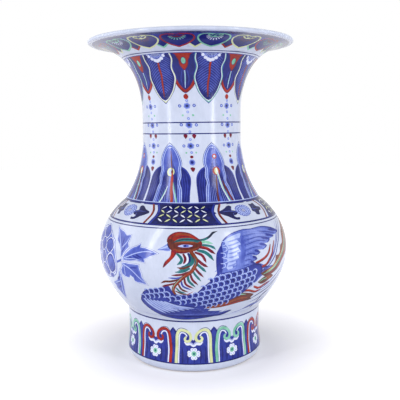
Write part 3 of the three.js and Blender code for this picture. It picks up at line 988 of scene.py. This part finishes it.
tail_lines = [
    ("cobalt", 2.0, [(107.8, 163), (117.3, 168), (126.9, 175), (133, 183), (140, 192), (148.5, 201.5),
                     (158, 211.5), (164, 219)]),
    ("cobalt_mid", 1.5, [(103, 160), (116, 165), (124, 173.4), (130, 183), (138, 195), (148, 207),
                         (154, 217)]),
    ("cobalt", 2.2, [(104, 157), (114, 160.5), (124, 166.5), (133.5, 175), (139, 183), (146.5, 192),
                     (154, 201), (165, 210), (175, 218.6)]),
    ("cobalt", 2.0, [(101.8, 128), (117.3, 129.5), (134.1, 137.5), (148.5, 145), (166, 153), (186, 165),
                     (200, 178)]),
    ("cobalt_mid", 1.6, [(104, 122.6), (122, 126), (140, 133), (160, 143), (182, 156), (200, 168)]),
    ("cobalt_deep", 2.4, [(92, 110), (105.4, 115), (116, 118.5), (131.7, 123.5), (145, 132), (162, 141),
                          (186, 153)]),
    ("cobalt", 1.8, [(100, 104), (118, 108), (136, 116), (156, 128), (178, 142)]),
    ("cobalt_deep", 4.2, [(112, 90), (119, 97), (123, 106), (129, 113.6), (141, 119)]),
]
red_tail = [[(88, 169.4), (95.8, 171), (104.2, 173.5), (112.5, 178), (117.3, 184.5), (120.4, 190.4)],
            [(98.6, 162), (109, 164), (114.9, 169), (122.1, 176.5), (125.7, 184.5), (131.5, 193.6)],
            [(92.4, 134.8), (104.2, 130.4), (114.9, 133.4), (127, 136.4)],
            [(73, 130.8), (85, 129.8), (99.4, 124.8), (111.4, 126.8)],
            [(138, 153), (149, 161), (162, 168.4), (174, 176)]]
print("tail lines:", len(tail_lines), "streamers:", len(red_tail))

# %% [markdown]
# The tail is painted before the body, so that the body covers its roots. Each plume is
# laid brown first, then ochre, green and yellow run along it in lines that never quite
# reach its ends.

# %% Painting the tail
def phoenix_tail(middle):
    b = Brush(middle, flat=belly_radius)
    b.fill("cobalt_mid", [(82, 166), (94, 168), (104, 164), (114, 160.6), (126, 160), (114, 156.6),
                          (110, 153), (104, 149), (98, 145), (92, 140), (84, 146)], 2)
    for k in range(5):
        root, tip = np.array((84.0, 164 - 4.4 * k)), np.array((117 - 6 * k, 160 - 3.6 * k))
        middle_way = 0.5 * (root + tip)
        b.line("cobalt_deep", [root + (0, -1.8), middle_way + (0, -1.2), tip], 1.8, start=0.5, end=0.2)
        b.line("cobalt_pale", [root, middle_way + (0, 0.9), tip + (-4, 1.4)], 1.3, start=0.5, end=0.2)
    for paint, width, route in tail_lines:
        b.line(paint, route, width, start=0.4, end=0.3)
    b.shape("brown", plume_a, 2)
    b.line("crimson", [(112, 148.6), (126, 150), (140, 155), (152, 162), (166, 169), (180, 178),
                       (188, 190)], 3.2, start=0.3, end=0.4)
    b.line("ochre", [(110, 153.6), (124, 157), (135, 164.6), (148, 173.4), (162, 186), (174, 200),
                     (188, 212)], 3.4, start=0.3, end=0.3)
    b.line("green", [(106, 150.4), (120, 153), (134, 158.4), (148, 167), (160, 177), (174, 192),
                     (190, 208)], 2.0, start=0.4, end=0.4)
    b.line("yellow", [(112, 153), (124, 156), (136, 162.6), (150, 171.6), (162, 182)], 1.0, start=0.4,
           end=0.4)
    b.shape("brown", plume_b, 2)
    b.fill("ochre", [(113, 145.4), (122, 146), (130, 142.8), (124, 140.8), (116, 140.6)], 2)
    b.line("green", [(101, 139.6), (108, 142.6), (116, 143.2)], 1.4, start=0.4, end=0.4)
    b.shape("brown", plume_c, 2)
    b.line("ochre", [(20, 106.4), (36, 107.6), (54, 112.6), (72, 117.6), (88, 116)], 4.2, start=0.2,
           end=0.3)
    b.line("iron_red", [(44, 106.6), (62, 110.4), (84, 113)], 1.8, start=0.3, end=0.3)
    b.line("green", [(56, 119.4), (69, 124.6), (82, 123.4)], 1.8, start=0.3, end=0.3)
    for route in red_tail:
        b.line("crimson", moved(route, 0.6, -1.0), 3.2, start=0.8, end=0.25)
        b.line("iron_red", route, 2.6, start=0.8, end=0.25)
    b.shape("cobalt", wisp, 2)
    b.line("cobalt_soft", [(94, 93), (110, 97), (128, 98), (142, 106)], 1.2, start=0.3, end=0.3)
    b.line("cobalt_mid", [(70, 88), (86, 90), (100, 96)], 1.2, start=0.3, end=0.3)


print("points on the three plumes:", len(plume_a), len(plume_b), len(plume_c))

# %% [markdown]
# The whole scene fills a little more than half of the belly, so a vase of this kind has it
# twice, once on each side. The second one is the same painting, half a turn away.

# %% Both sides of the belly
for middle in (0, 180):
    peony(middle)
    phoenix_tail(middle)
    phoenix_body(middle)
    phoenix_wing(middle)
    phoenix_head(middle)
print("strokes after the belly:", len(strokes))

# %% [markdown]
# Glazed porcelain shows three things at once: the white body, the colour of the paint and
# the clear coat of glass over both. Blue lies in soft washes that gather where the brush
# stops, enamel lies a little unevenly, and the glaze has a very fine ripple that softens
# what it mirrors. Two node groups hold what all the finishes share, and every finish
# places them with its own values.

# %% Shared effects
def new_group(name, inputs, outputs):
    group = bpy.data.node_groups.new(name, "ShaderNodeTree")
    for socket, kind, value in inputs:
        made = group.interface.new_socket(socket, in_out="INPUT", socket_type=kind)
        made.default_value = value
    for socket, kind in outputs:
        group.interface.new_socket(socket, in_out="OUTPUT", socket_type=kind)
    return group, group.nodes.new("NodeGroupInput"), group.nodes.new("NodeGroupOutput")


def noise(tree, coordinates, scale, detail, stretch=(1, 1, 1)):
    """Noise in the vase's own metres, stretched along an axis where the stretch is small."""
    turned = tree.nodes.new("ShaderNodeMapping")
    turned.inputs["Scale"].default_value = stretch
    tree.links.new(coordinates, turned.inputs["Vector"])
    made = tree.nodes.new("ShaderNodeTexNoise")
    made.inputs["Scale"].default_value = scale
    made.inputs["Detail"].default_value = detail
    tree.links.new(turned.outputs["Vector"], made.inputs["Vector"])
    return made.outputs["Fac"]


def spread(tree, value, low, high, to_low=0.0, to_high=1.0):
    made = tree.nodes.new("ShaderNodeMapRange")
    for socket, number in (("From Min", low), ("From Max", high), ("To Min", to_low),
                           ("To Max", to_high)):
        made.inputs[socket].default_value = number
    tree.links.new(value, made.inputs["Value"])
    return made.outputs["Result"]


def calculate(tree, operation, *values):
    """A math node, whose values are numbers or other nodes' outputs."""
    made = tree.nodes.new("ShaderNodeMath")
    made.operation = operation
    for socket, value in zip(made.inputs, values):
        if isinstance(value, float):
            socket.default_value = value
        else:
            tree.links.new(value, socket)
    return made.outputs[0]


def brushed_paint_group():
    """Between a thin and a full tone of one paint, in broad pools and fine brush streaks."""
    group, given, out = new_group(
        "brushed_paint",
        [("Thin", "NodeSocketColor", (0.5, 0.5, 0.8, 1)),
         ("Full", "NodeSocketColor", (0.1, 0.1, 0.5, 1))],
        [("Color", "NodeSocketColor")])
    place = group.nodes.new("ShaderNodeTexCoord").outputs["Object"]
    pools = spread(group, noise(group, place, 70.0, 3.0), 0.35, 0.65)
    streaks = spread(group, noise(group, place, 420.0, 2.0, (1, 1, 0.35)), 0.3, 0.7)
    pool_share = 0.55
    share = calculate(group, "MULTIPLY_ADD", streaks, 1 - pool_share,
                      calculate(group, "MULTIPLY", pools, pool_share))
    mix = group.nodes.new("ShaderNodeMix")
    mix.data_type = "RGBA"
    group.links.new(share, mix.inputs["Factor"])
    group.links.new(given.outputs["Full"], mix.inputs[6])
    group.links.new(given.outputs["Thin"], mix.inputs[7])
    group.links.new(mix.outputs[2], out.inputs["Color"])
    return group


brushed_paint = brushed_paint_group()
print("tones of a paint:", list(brushed_paint.interface.items_tree.keys()))

# %% [markdown]
# The glass itself is the same over every paint: a slow ripple, tiny pits, and places where
# it is a touch less clear. The group hands out only a height and a roughness.

# %% The glass over the paint
def glassy_coat_group():
    """The fired glass: a faint ripple for the bump, and where it is a touch less clear."""
    group, given, out = new_group(
        "glassy_coat",
        [("Ripple", "NodeSocketFloat", 1.0), ("Roughness", "NodeSocketFloat", 0.1)],
        [("Height", "NodeSocketFloat"), ("Roughness", "NodeSocketFloat")])
    place = group.nodes.new("ShaderNodeTexCoord").outputs["Object"]
    waves = noise(group, place, 45.0, 1.0)
    pits = noise(group, place, 900.0, 1.0)
    pitted = calculate(group, "MULTIPLY_ADD", pits, 0.04, waves)
    tall = calculate(group, "MULTIPLY", pitted, given.outputs["Ripple"])
    group.links.new(tall, out.inputs["Height"])
    duller = spread(group, noise(group, place, 25.0, 3.0), 0.3, 0.7, -0.25, 0.35)
    base = given.outputs["Roughness"]
    group.links.new(calculate(group, "MULTIPLY_ADD", duller, base, base), out.inputs["Roughness"])
    return group


glassy_coat = glassy_coat_group()
print("node groups:", [g.name for g in bpy.data.node_groups])

# %% [markdown]
# One finish stands for one paint on the palette. Each names its full tone and its thin
# tone as they look on a screen. Blues lie under the glaze and are as glossy as the white.
# Coloured enamels lie over it and are a little duller, and the bare clay of the foot is
# matt.

# %% One finish for each paint
def linear(rgb):
    """A colour as seen on a screen, 0 to 255, in the linear values that a shader takes."""
    c = np.array(rgb) / 255
    return (*np.where(c <= 0.04045, c / 12.92, ((c + 0.055) / 1.055) ** 2.4), 1.0)


def fired(name, full, thin, roughness=0.14, ripple=1.0):
    material = bpy.data.materials.new(name)
    material.use_nodes = True
    tree = material.node_tree
    shader = tree.nodes["Principled BSDF"]
    shader.inputs["Specular IOR Level"].default_value = 0.25
    paint = tree.nodes.new("ShaderNodeGroup")
    paint.node_tree = brushed_paint
    paint.inputs["Full"].default_value = linear(full)
    paint.inputs["Thin"].default_value = linear(thin)
    tree.links.new(paint.outputs["Color"], shader.inputs["Base Color"])
    glass = tree.nodes.new("ShaderNodeGroup")
    glass.node_tree = glassy_coat
    glass.inputs["Ripple"].default_value = ripple
    glass.inputs["Roughness"].default_value = roughness
    tree.links.new(glass.outputs["Roughness"], shader.inputs["Roughness"])
    bump = tree.nodes.new("ShaderNodeBump")
    bump.inputs["Strength"].default_value = 0.15
    bump.inputs["Distance"].default_value = 0.0006
    tree.links.new(glass.outputs["Height"], bump.inputs["Height"])
    tree.links.new(bump.outputs["Normal"], shader.inputs["Normal"])
    return material


enamel = 0.2
finishes = {
    "glaze_white": fired("glaze_white", (187, 195, 215), (199, 206, 226)),
    "navy": fired("navy", (8, 11, 62), (22, 28, 94)),
    "cobalt_deep": fired("cobalt_deep", (14, 20, 88), (28, 36, 124)),
    "cobalt": fired("cobalt", (24, 34, 120), (48, 62, 158)),
    "cobalt_mid": fired("cobalt_mid", (52, 66, 158), (88, 106, 194)),
    "cobalt_wash": fired("cobalt_wash", (72, 90, 176), (112, 130, 208)),
    "cobalt_soft": fired("cobalt_soft", (96, 112, 192), (134, 150, 216)),
    "cobalt_pale": fired("cobalt_pale", (150, 166, 222), (182, 196, 234)),
    "iron_red": fired("iron_red", (126, 20, 14), (166, 42, 28), enamel),
    "crimson": fired("crimson", (86, 8, 32), (122, 24, 48), enamel),
    "brown": fired("brown", (70, 24, 22), (110, 50, 38), enamel),
    "ochre": fired("ochre", (108, 42, 20), (150, 72, 42), enamel),
    "green": fired("green", (92, 164, 134), (146, 202, 180), enamel),
    "teal": fired("teal", (12, 80, 88), (40, 118, 122), enamel),
    "yellow": fired("yellow", (190, 198, 140), (214, 220, 174), enamel),
    "enamel_white": fired("enamel_white", (208, 214, 236), (224, 228, 244)),
    "black": fired("black", (22, 26, 44), (46, 52, 74), enamel),
    "biscuit": fired("biscuit", (176, 150, 128), (202, 184, 164), 0.75, ripple=6.0),
}
print("finishes:", len(finishes))

# %% [markdown]
# Each thrown section is made from its painted skin inwards. The strokes are cut into the
# skin as a net of triangles, so that every edge of the painting is a real edge and stays
# sharp at any size. No operator can draw such a net, so it is worked out from the strokes
# and handed over as a mesh. From there the wall is modelled as by hand: the free rim is
# extruded over the lip or the joint and down the inside, ring by ring.

# %% From strokes to a painted skin
row_step, lip_step, lip_reach, net_gap = 4.0, 0.7, 9.0, 1e-5


def skin_rows(low, high):
    """Heights of the net's level lines: even steps, and fine ones round the lip."""
    plain_high = min(high, max(low, skin_length - lip_reach))
    rows = list(np.linspace(low, plain_high, max(2, math.ceil((plain_high - low) / row_step) + 1)))
    if high > plain_high:
        rows += list(np.linspace(plain_high, high, math.ceil((high - plain_high) / lip_step) + 1))[1:]
    return rows


def painted_skin(name, low, high):
    """One section's outer skin between two heights along the skin, a material for each paint."""
    scale = math.radians(1) * radius_at((low + high) / 2)
    net = [Vector((angle * scale, s)) for s in skin_rows(low, high) for angle in column_angles]
    corners = [(-180, low), (180, low), (180, high), (-180, high)]
    points, faces, used = list(net), [list(range(len(net), len(net) + 4))], [0]
    points += [Vector((a * scale, s)) for a, s in corners]
    for paint, shape in strokes:
        if shape[:, 1].max() <= low or shape[:, 1].min() >= high:
            continue
        faces.append(list(range(len(points), len(points) + len(shape))))
        points += [Vector((a * scale, s)) for a, s in shape]
        used.append(paint)
    verts, _, triangles, _, _, sources = delaunay_2d_cdt(points, [], faces, 0, net_gap, True)
    flat = np.array(verts)
    kept = [(t, used[max(source)]) for t, source in zip(triangles, sources) if 0 in source]
    angle, s = np.radians(flat[:, 0] / scale), flat[:, 1]
    r = radius_at(s) * MM
    place = np.stack([r * np.sin(angle), -r * np.cos(angle), height_at(s) * MM], 1)
    mesh = bpy.data.meshes.new(name)
    mesh.from_pydata(place.tolist(), [], [list(t) for t, _ in kept])
    for paint in paints:
        mesh.materials.append(finishes[paint])
    mesh.polygons.foreach_set("material_index", [paint for _, paint in kept])
    piece = bpy.data.objects.new(name, mesh)
    bpy.context.scene.collection.objects.link(piece)
    print(name, "strokes", len(used) - 1, "triangles", len(kept))
    return piece


print("the net has a row every, mm:", row_step, "and at the lip every:", lip_step)

# %% [markdown]
# The free edge of the skin is found by its height, never by number. An extrusion up or
# down and a resize about the axis then make one ring of the wall, and the rings together
# carry the wall over the joint or the lip and down the inside.

# %% Modelling steps that every section shares
weld_gap, rim_slack = 0.002 * MM, 0.02 * MM


def open_skin(node, low, high):
    """A section's painted skin in edit mode, welded along the seam at the back."""
    piece = painted_skin(node + "_glazed", low, high)
    bpy.ops.object.select_all(action="DESELECT")
    bpy.context.view_layer.objects.active = piece
    piece.select_set(True)
    bpy.ops.object.mode_set(mode="EDIT")
    bpy.ops.mesh.select_mode(type="EDGE")
    bpy.ops.mesh.select_all(action="SELECT")
    bpy.ops.mesh.remove_doubles(threshold=weld_gap)
    bpy.ops.mesh.select_all(action="DESELECT")
    return piece


def select_rim(piece, z):
    """Selects the free edges at one height, in millimetres."""
    mesh = bmesh.from_edit_mesh(piece.data)
    for edge in mesh.edges:
        level = all(abs(v.co.z - z * MM) < rim_slack for v in edge.verts)
        edge.select_set(edge.is_boundary and level)
    bmesh.update_edit_mesh(piece.data)


def draw_wall(piece, rings, close=False):
    """Extrudes the free rim at the first ring through the other rings, given as radius and height."""
    select_rim(piece, rings[0][1])
    for (r0, z0), (r1, z1) in zip(rings[:-1], rings[1:]):
        bpy.ops.mesh.extrude_edges_move(TRANSFORM_OT_translate={"value": (0, 0, (z1 - z0) * MM)})
        bpy.ops.transform.resize(value=(r1 / r0, r1 / r0, 1), center_override=(0, 0, z1 * MM))
    if close:
        bpy.ops.mesh.merge(type="CENTER")


print("weld gap and rim slack, mm:", round(weld_gap / MM, 3), round(rim_slack / MM, 3))

# %% [markdown]
# The inside of each wall follows the same kind of sweep as the outside. The skin's own
# outline says exactly which way it faces at every point, so the finished piece is given
# those directions as its normals: the glaze then mirrors the lamps as smoothly as on a
# turned pot, although the net under it is uneven. A map of the surface is laid out too,
# skin below and wall above, so that the finish can be baked without stretching.

# %% Which faces are skin
skin_slack = 0.03


def ring_of(co):
    """Radius and height in millimetres of each point."""
    return np.hypot(co[:, 0], co[:, 1]) / MM, co[:, 2] / MM


def corner_data(mesh):
    co = np.empty(len(mesh.vertices) * 3)
    mesh.vertices.foreach_get("co", co)
    co = co.reshape(-1, 3)
    index = np.empty(len(mesh.loops), int)
    mesh.loops.foreach_get("vertex_index", index)
    start, total = np.empty(len(mesh.polygons), int), np.empty(len(mesh.polygons), int)
    mesh.polygons.foreach_get("loop_start", start)
    mesh.polygons.foreach_get("loop_total", total)
    face = np.repeat(np.arange(len(mesh.polygons)), total)
    return co, index, start, face


def skin_faces(mesh):
    """True for faces whose corners all lie on the outer outline."""
    co, index, start, face = corner_data(mesh)
    r, z = ring_of(co)
    on_skin = np.abs(r - np.interp(z, outline[:, 1], outline[:, 0])) < skin_slack
    return np.logical_and.reduceat(on_skin[index], start)


print("outline points to sort the faces by:", len(outline))

# %% [markdown]
# The directions come from the outline that the skin was drawn on, and only the skin gets
# them. Walls and floors keep the directions that smooth shading gives them.

# %% Smooth directions for the skin
def lay_normals(mesh, on_skin):
    co, index, start, face = corner_data(mesh)
    r, z = ring_of(co)
    out, up = skin_normals(np.interp(z, outline[:, 1], along))
    smooth_skin = np.stack([co[:, 0] / MM / r * out, co[:, 1] / MM / r * out, up], 1)
    normals = np.empty(len(mesh.loops) * 3)
    mesh.corner_normals.foreach_get("vector", normals)
    normals = normals.reshape(-1, 3)
    chosen = on_skin[face]
    normals[chosen] = smooth_skin[index[chosen]]
    mesh.normals_split_custom_set(normals.tolist())


print("directions are averaged over, mm:", 2 * normal_reach)

# %% [markdown]
# The map puts the skin below and the wall above it. Across, it is the angle round the
# vase, and each face is unrolled from its own middle so that none is torn at the seam.

# %% A map of the surface
skin_low, skin_tall, wall_low, wall_tall, side_margin = 0.01, 0.68, 0.71, 0.28, 0.005
at_axis = 1e-3


def along_wall(r, z, rings):
    """How far along the wall's rings each point lies, as a share of the whole."""
    rings = np.array(rings, float)
    steps = np.diff(rings, axis=0)
    size = np.maximum(np.hypot(steps[:, 0], steps[:, 1]), 1e-6)
    reached = np.concatenate([[0], np.cumsum(size)])
    p = np.stack([r, z], 1)[:, None, :] - rings[None, :-1, :]
    t = np.clip((p * steps).sum(2) / size ** 2, 0, 1)
    gap = np.hypot(*(p - t[..., None] * steps).transpose(2, 0, 1))
    best = gap.argmin(1)
    return (reached[best] + t[np.arange(len(r)), best] * size[best]) / reached[-1]


def lay_surface_map(mesh, on_skin, rings):
    co, index, start, face = corner_data(mesh)
    r, z = ring_of(co)
    centre = np.add.reduceat(co[index], start, axis=0) / np.diff(np.append(start, len(index)))[:, None]
    middle = (np.arctan2(centre[:, 0], -centre[:, 1]) / (2 * math.pi))[face]
    turned = (np.arctan2(co[:, 0], -co[:, 1]) / (2 * math.pi))[index]
    u = middle + (turned - middle + 0.5) % 1.0 - 0.5
    u = np.where(r[index] < at_axis, middle, u) + 0.5
    s = np.interp(z, outline[:, 1], along)[index]
    low, high = s[on_skin[face]].min(), s[on_skin[face]].max()
    v = np.where(on_skin[face], skin_low + skin_tall * (s - low) / (high - low),
                 wall_low + wall_tall * along_wall(r, z, rings)[index])
    layer = mesh.uv_layers.new(name="OFBake")
    layer.data.foreach_set("uv", np.stack([side_margin + (1 - 2 * side_margin) * u, v], 1).ravel())


print("skin's share of the map:", skin_tall, "wall's share:", wall_tall)

# %% [markdown]
# Two functions finish a piece. One closes it off: glaze on the walls, bare clay under the
# foot, shading, the map and its place in the frame. The other makes a whole ring-shaped
# section from its two heights on the skin and the rings of its wall.

# %% Finishing a section
sharp_edge = math.radians(40)


def complete(piece, rings, node, bare_below=None):
    """Closes a section: glaze on its walls, smooth shading, its map, and its place in the frame."""
    bpy.ops.mesh.select_all(action="SELECT")
    bpy.ops.mesh.normals_make_consistent(inside=False)
    bpy.ops.object.mode_set(mode="OBJECT")
    mesh = piece.data
    on_skin = skin_faces(mesh)
    for polygon in np.flatnonzero(~on_skin):
        face = mesh.polygons[int(polygon)]
        bare = bare_below is not None and face.center.z < bare_below * MM
        face.material_index = paints.index("biscuit" if bare else "glaze_white")
    bpy.ops.object.shade_smooth_by_angle(angle=sharp_edge)
    lay_normals(mesh, on_skin)
    lay_surface_map(mesh, on_skin, rings)
    bpy.ops.object.material_slot_remove_unused()
    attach(piece, "root")
    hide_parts(node)
    print(piece.name, "triangles", sum(len(p.vertices) - 2 for p in mesh.polygons),
          "skin faces", int(on_skin.sum()))


def make_section(node, low, high, rings, bare_below=None):
    """A thrown section that is open right through: the wall runs over the top and down inside."""
    piece = open_skin(node, low, high)
    draw_wall(piece, rings)
    mesh = bmesh.from_edit_mesh(piece.data)
    for edge in mesh.edges:
        edge.select_set(edge.is_boundary)
    bmesh.update_edit_mesh(piece.data)
    bpy.ops.mesh.fill(use_beauty=False)
    complete(piece, rings, node, bare_below)


print("sections to make:", len(joints) + 1)

# %% [markdown]
# The foot is a drum, open underneath. Its wall is thick, as it carries the whole vase,
# and the flat rim that it stands on is wiped free of glaze before firing, because glazed
# clay would melt fast to the kiln shelf. That leaves a narrow biscuit-coloured ring.

# %% Foot ring and its joint
foot_wall, foot_rim_width, top_bevel, rim_bevel, bare_height = 10.0, 8.0, 0.6, 1.0, 0.7
foot_inner, foot_rim_inner = foot_top_radius - foot_wall, foot_rim_radius - foot_rim_width
foot_rings = [(foot_top_radius, foot_top), (foot_inner + top_bevel, foot_top),
              (foot_inner, foot_top - top_bevel)]
foot_rings += [(foot_rim_inner + (foot_inner - foot_rim_inner) * z / foot_top, z)
               for z in (48, 24, rim_bevel)]
foot_rings += [(foot_rim_inner + rim_bevel, 0.0)]
make_section("foot_ring", 0.0, joints[0], foot_rings, bare_below=bare_height)
foot_slip_rings = [(foot_joint_radius, foot_joint_top), (foot_inner, foot_joint_top),
                   (foot_inner, foot_top)]
make_section("foot_slip_joint", joints[0], joints[1], foot_slip_rings)

# %% [markdown]
# The lower half of the belly is a bowl. It has a floor, so its wall is drawn in to the
# axis on both sides: the inside runs down to a flat floor, and the underside, which shows
# when the vase is tipped, is one flat disc over the hollow of the foot.

# %% Lower belly bowl
belly_wall, bowl_floor, bowl_foot_wall, disc_radii = 6.8, 8.0, 13.0, (40, 8)
belly_inner, floor_top = belly_radius - belly_wall, foot_joint_top + bowl_floor
bowl_foot = (foot_joint_radius - bowl_foot_wall, floor_top)
bowl_rings = [(belly_radius, belly_low)]
bowl_rings += list(sweep((belly_inner, belly_low), bowl_high_pull, bowl_foot, bowl_low_pull, 16))
bowl_rings += [(r, floor_top - 0.01 * (k + 1)) for k, r in enumerate((bowl_foot[0] - 6, *disc_radii))]
underside_rings = [(r, foot_joint_top) for r in (foot_joint_radius, foot_inner, *disc_radii)]
bowl = open_skin("lower_belly_bowl", joints[1], joints[2])
draw_wall(bowl, bowl_rings, close=True)
bpy.ops.mesh.select_all(action="DESELECT")
draw_wall(bowl, underside_rings, close=True)
complete(bowl, bowl_rings + underside_rings[::-1], "lower_belly_bowl")

# %% [markdown]
# The shoulder and the neck are open rings. The joints between them are bands of slip of
# about a millimetre and a half, rubbed smooth before the glaze, so each one is its own thin
# ring that carries the skin across.

# %% Belly joint, shoulder, neck and their joints
make_section("belly_slip_joint", joints[2], joints[3],
             [(belly_radius, belly_joint_top), (belly_inner, belly_joint_top), (belly_inner, belly_low)])
shoulder_wall, neck_low_wall, neck_wall = 9.0, 8.5, 6.0
shoulder_inner, neck_low_inner = shoulder_radius - shoulder_wall, neck_low_radius - neck_low_wall
shoulder_rings = [(shoulder_radius, shoulder_top)]
shoulder_rings += list(sweep((shoulder_inner, shoulder_top), shoulder_high_pull,
                             (belly_inner, belly_joint_top), shoulder_low_pull, 16))
make_section("shoulder_section", joints[3], joints[4], shoulder_rings)
make_section("neck_slip_joint", joints[4], joints[5],
             [(neck_low_radius, neck_joint_top), (neck_low_inner, neck_joint_top),
              (shoulder_inner, shoulder_top)])
neck_inner = neck_radius - neck_wall
neck_rings = [(neck_radius, waist_low), (neck_inner, waist_low)]
neck_rings += list(sweep((neck_inner, waist_start), neck_high_pull, (neck_low_inner, neck_joint_top),
                         neck_low_pull, 16))
make_section("neck_section", joints[5], joints[6], neck_rings)
make_section("waist_slip_joint", joints[6], joints[7],
             [(neck_radius, waist_joint_top), (neck_inner, waist_joint_top), (neck_inner, waist_low)])

# %% [markdown]
# The mouth opens like a trumpet and ends in the rolled lip. Its inside is white glaze right
# down, and it is most of what shows from above.

# %% The trumpet mouth
mouth_rings = list(sweep((lip_centre[0], mouth_top), (-57.5, -3.5), (neck_inner, waist_end),
                         mouth_low_pull, 30))
mouth_rings += [(neck_inner, waist_joint_top)]
make_section("trumpet_mouth", joints[7], skin_length, mouth_rings)

# %% [markdown]
# The picture needs little round the vase: a white room and a pale floor that fades into
# it. To what the lamps give it, the floor adds a light of its own, which only the camera
# and the glaze's mirror see. That light is dimmer near the vase, which paints a soft
# shadow round the foot on top of the real shadow that the lamps cast.

# %% Floor and room
def camera_sees(tree):
    """One where a ray comes from the camera, or from a mirror or through glass."""
    path = tree.nodes.new("ShaderNodeLightPath")
    seen = path.outputs["Is Camera Ray"]
    for name in ("Is Glossy Ray", "Is Transmission Ray"):
        seen = calculate(tree, "MAXIMUM", seen, path.outputs[name])
    return seen


room_light = 0.44
world = bpy.data.worlds.new("white_room")
bpy.context.scene.world = world
world.use_nodes = True
tree = world.node_tree
background = tree.nodes["Background"]
background.inputs["Color"].default_value = (1, 1, 1, 1)
tree.links.new(spread(tree, camera_sees(tree), 0.0, 1.0, room_light, 1.0), background.inputs["Strength"])

bpy.ops.object.select_all(action="DESELECT")
# Painted shadow: the floor's own glow is weakest close to the vase and full from the second radius on.
floor_radius, painted_shadow_edge, glow_edge, painted_shadow_glow, far_glow = 4.0, 0.12, 0.32, 0.18, 0.83
bpy.ops.mesh.primitive_circle_add(vertices=96, radius=floor_radius, fill_type="NGON",
                                  location=(0, 0, 0))
floor = bpy.context.object
floor.name = "floor"
paper = bpy.data.materials.new("pale_floor")
paper.use_nodes = True
tree = paper.node_tree
shader = tree.nodes["Principled BSDF"]
shader.inputs["Base Color"].default_value = (0.72, 0.72, 0.76, 1)
shader.inputs["Roughness"].default_value = 0.9
shader.inputs["Specular IOR Level"].default_value = 0.1
shader.inputs["Emission Color"].default_value = (0.99, 0.98, 1.0, 1)
away = tree.nodes.new("ShaderNodeVectorMath")
away.operation = "LENGTH"
tree.links.new(tree.nodes.new("ShaderNodeTexCoord").outputs["Object"], away.inputs[0])
# Painted shadow: the glow grows with the distance from the vase, so the floor is darker round the foot.
glow_past_painted_shadow = spread(tree, away.outputs["Value"], painted_shadow_edge, glow_edge, painted_shadow_glow, far_glow)
glow = calculate(tree, "MULTIPLY", camera_sees(tree), glow_past_painted_shadow)
tree.links.new(glow, shader.inputs["Emission Strength"])
floor.data.materials.append(paper)
print("room light:", room_light, "floor, m:", [round(v, 2) for v in floor.dimensions])

# %% [markdown]
# Each side has a narrow tall lamp in front, which is the one mirrored as a line of light
# down the neck, and a softer one beside the vase, which only brightens its edge. A low
# one in front lifts the shade under the belly, and is kept out of the glaze's mirror.

# %% Lamps
aim = Vector((0, 0, 0.25))


def softbox(name, azimuth, distance, middle, wide, tall, power):
    """A flat lamp, aimed at the base of the neck; azimuth 0 is in front, and it grows to the right."""
    a = math.radians(azimuth)
    place = (distance * math.sin(a), -distance * math.cos(a), middle)
    bpy.ops.object.light_add(type="AREA", location=place)
    lamp = bpy.context.object
    lamp.name = name
    lamp.data.shape = "RECTANGLE"
    lamp.data.size, lamp.data.size_y = wide, tall
    lamp.data.energy = power
    lamp.rotation_euler = (aim - lamp.location).to_track_quat("-Z", "Y").to_euler()
    return lamp


softbox("left_softbox", -94, 1.5, 0.66, 0.8, 1.1, 6.2)
softbox("right_softbox", 88, 1.5, 0.6, 0.6, 1.0, 2.8)
softbox("left_core", -50, 1.4, 0.8, 0.2, 1.5, 11.5)
softbox("right_core", 49, 1.4, 0.66, 0.22, 1.2, 10.5)
low_fill = softbox("low_fill", 0, 0.62, 0.06, 0.7, 0.08, 0.46)
low_fill.visible_glossy = False

# %% [markdown]
# The photograph was taken from a little above the belly, looking very slightly down. The
# camera stands at that distance and height, a touch to the right of the axis, and its
# lens gives the vase the same size in the frame.

# %% Camera
camera_data = bpy.data.cameras.new("camera")
camera_data.sensor_width, camera_data.lens = 36.0, 53.6
camera_data.sensor_fit = "HORIZONTAL"
camera = bpy.data.objects.new("camera", camera_data)
bpy.context.scene.collection.objects.link(camera)
camera_place = (0.0108, -0.8707, 0.335)
look_down, roll = math.radians(7.21), math.radians(-0.65)
camera.matrix_world = (Matrix.Translation(camera_place)
                       @ Matrix.Rotation(math.pi / 2 - look_down, 4, "X") @ Matrix.Rotation(roll, 4, "Z"))
bpy.context.scene.camera = camera
bpy.context.scene.view_settings.view_transform = "Standard"
print("camera, m:", camera_place, "lens, mm:", round(camera_data.lens, 1))
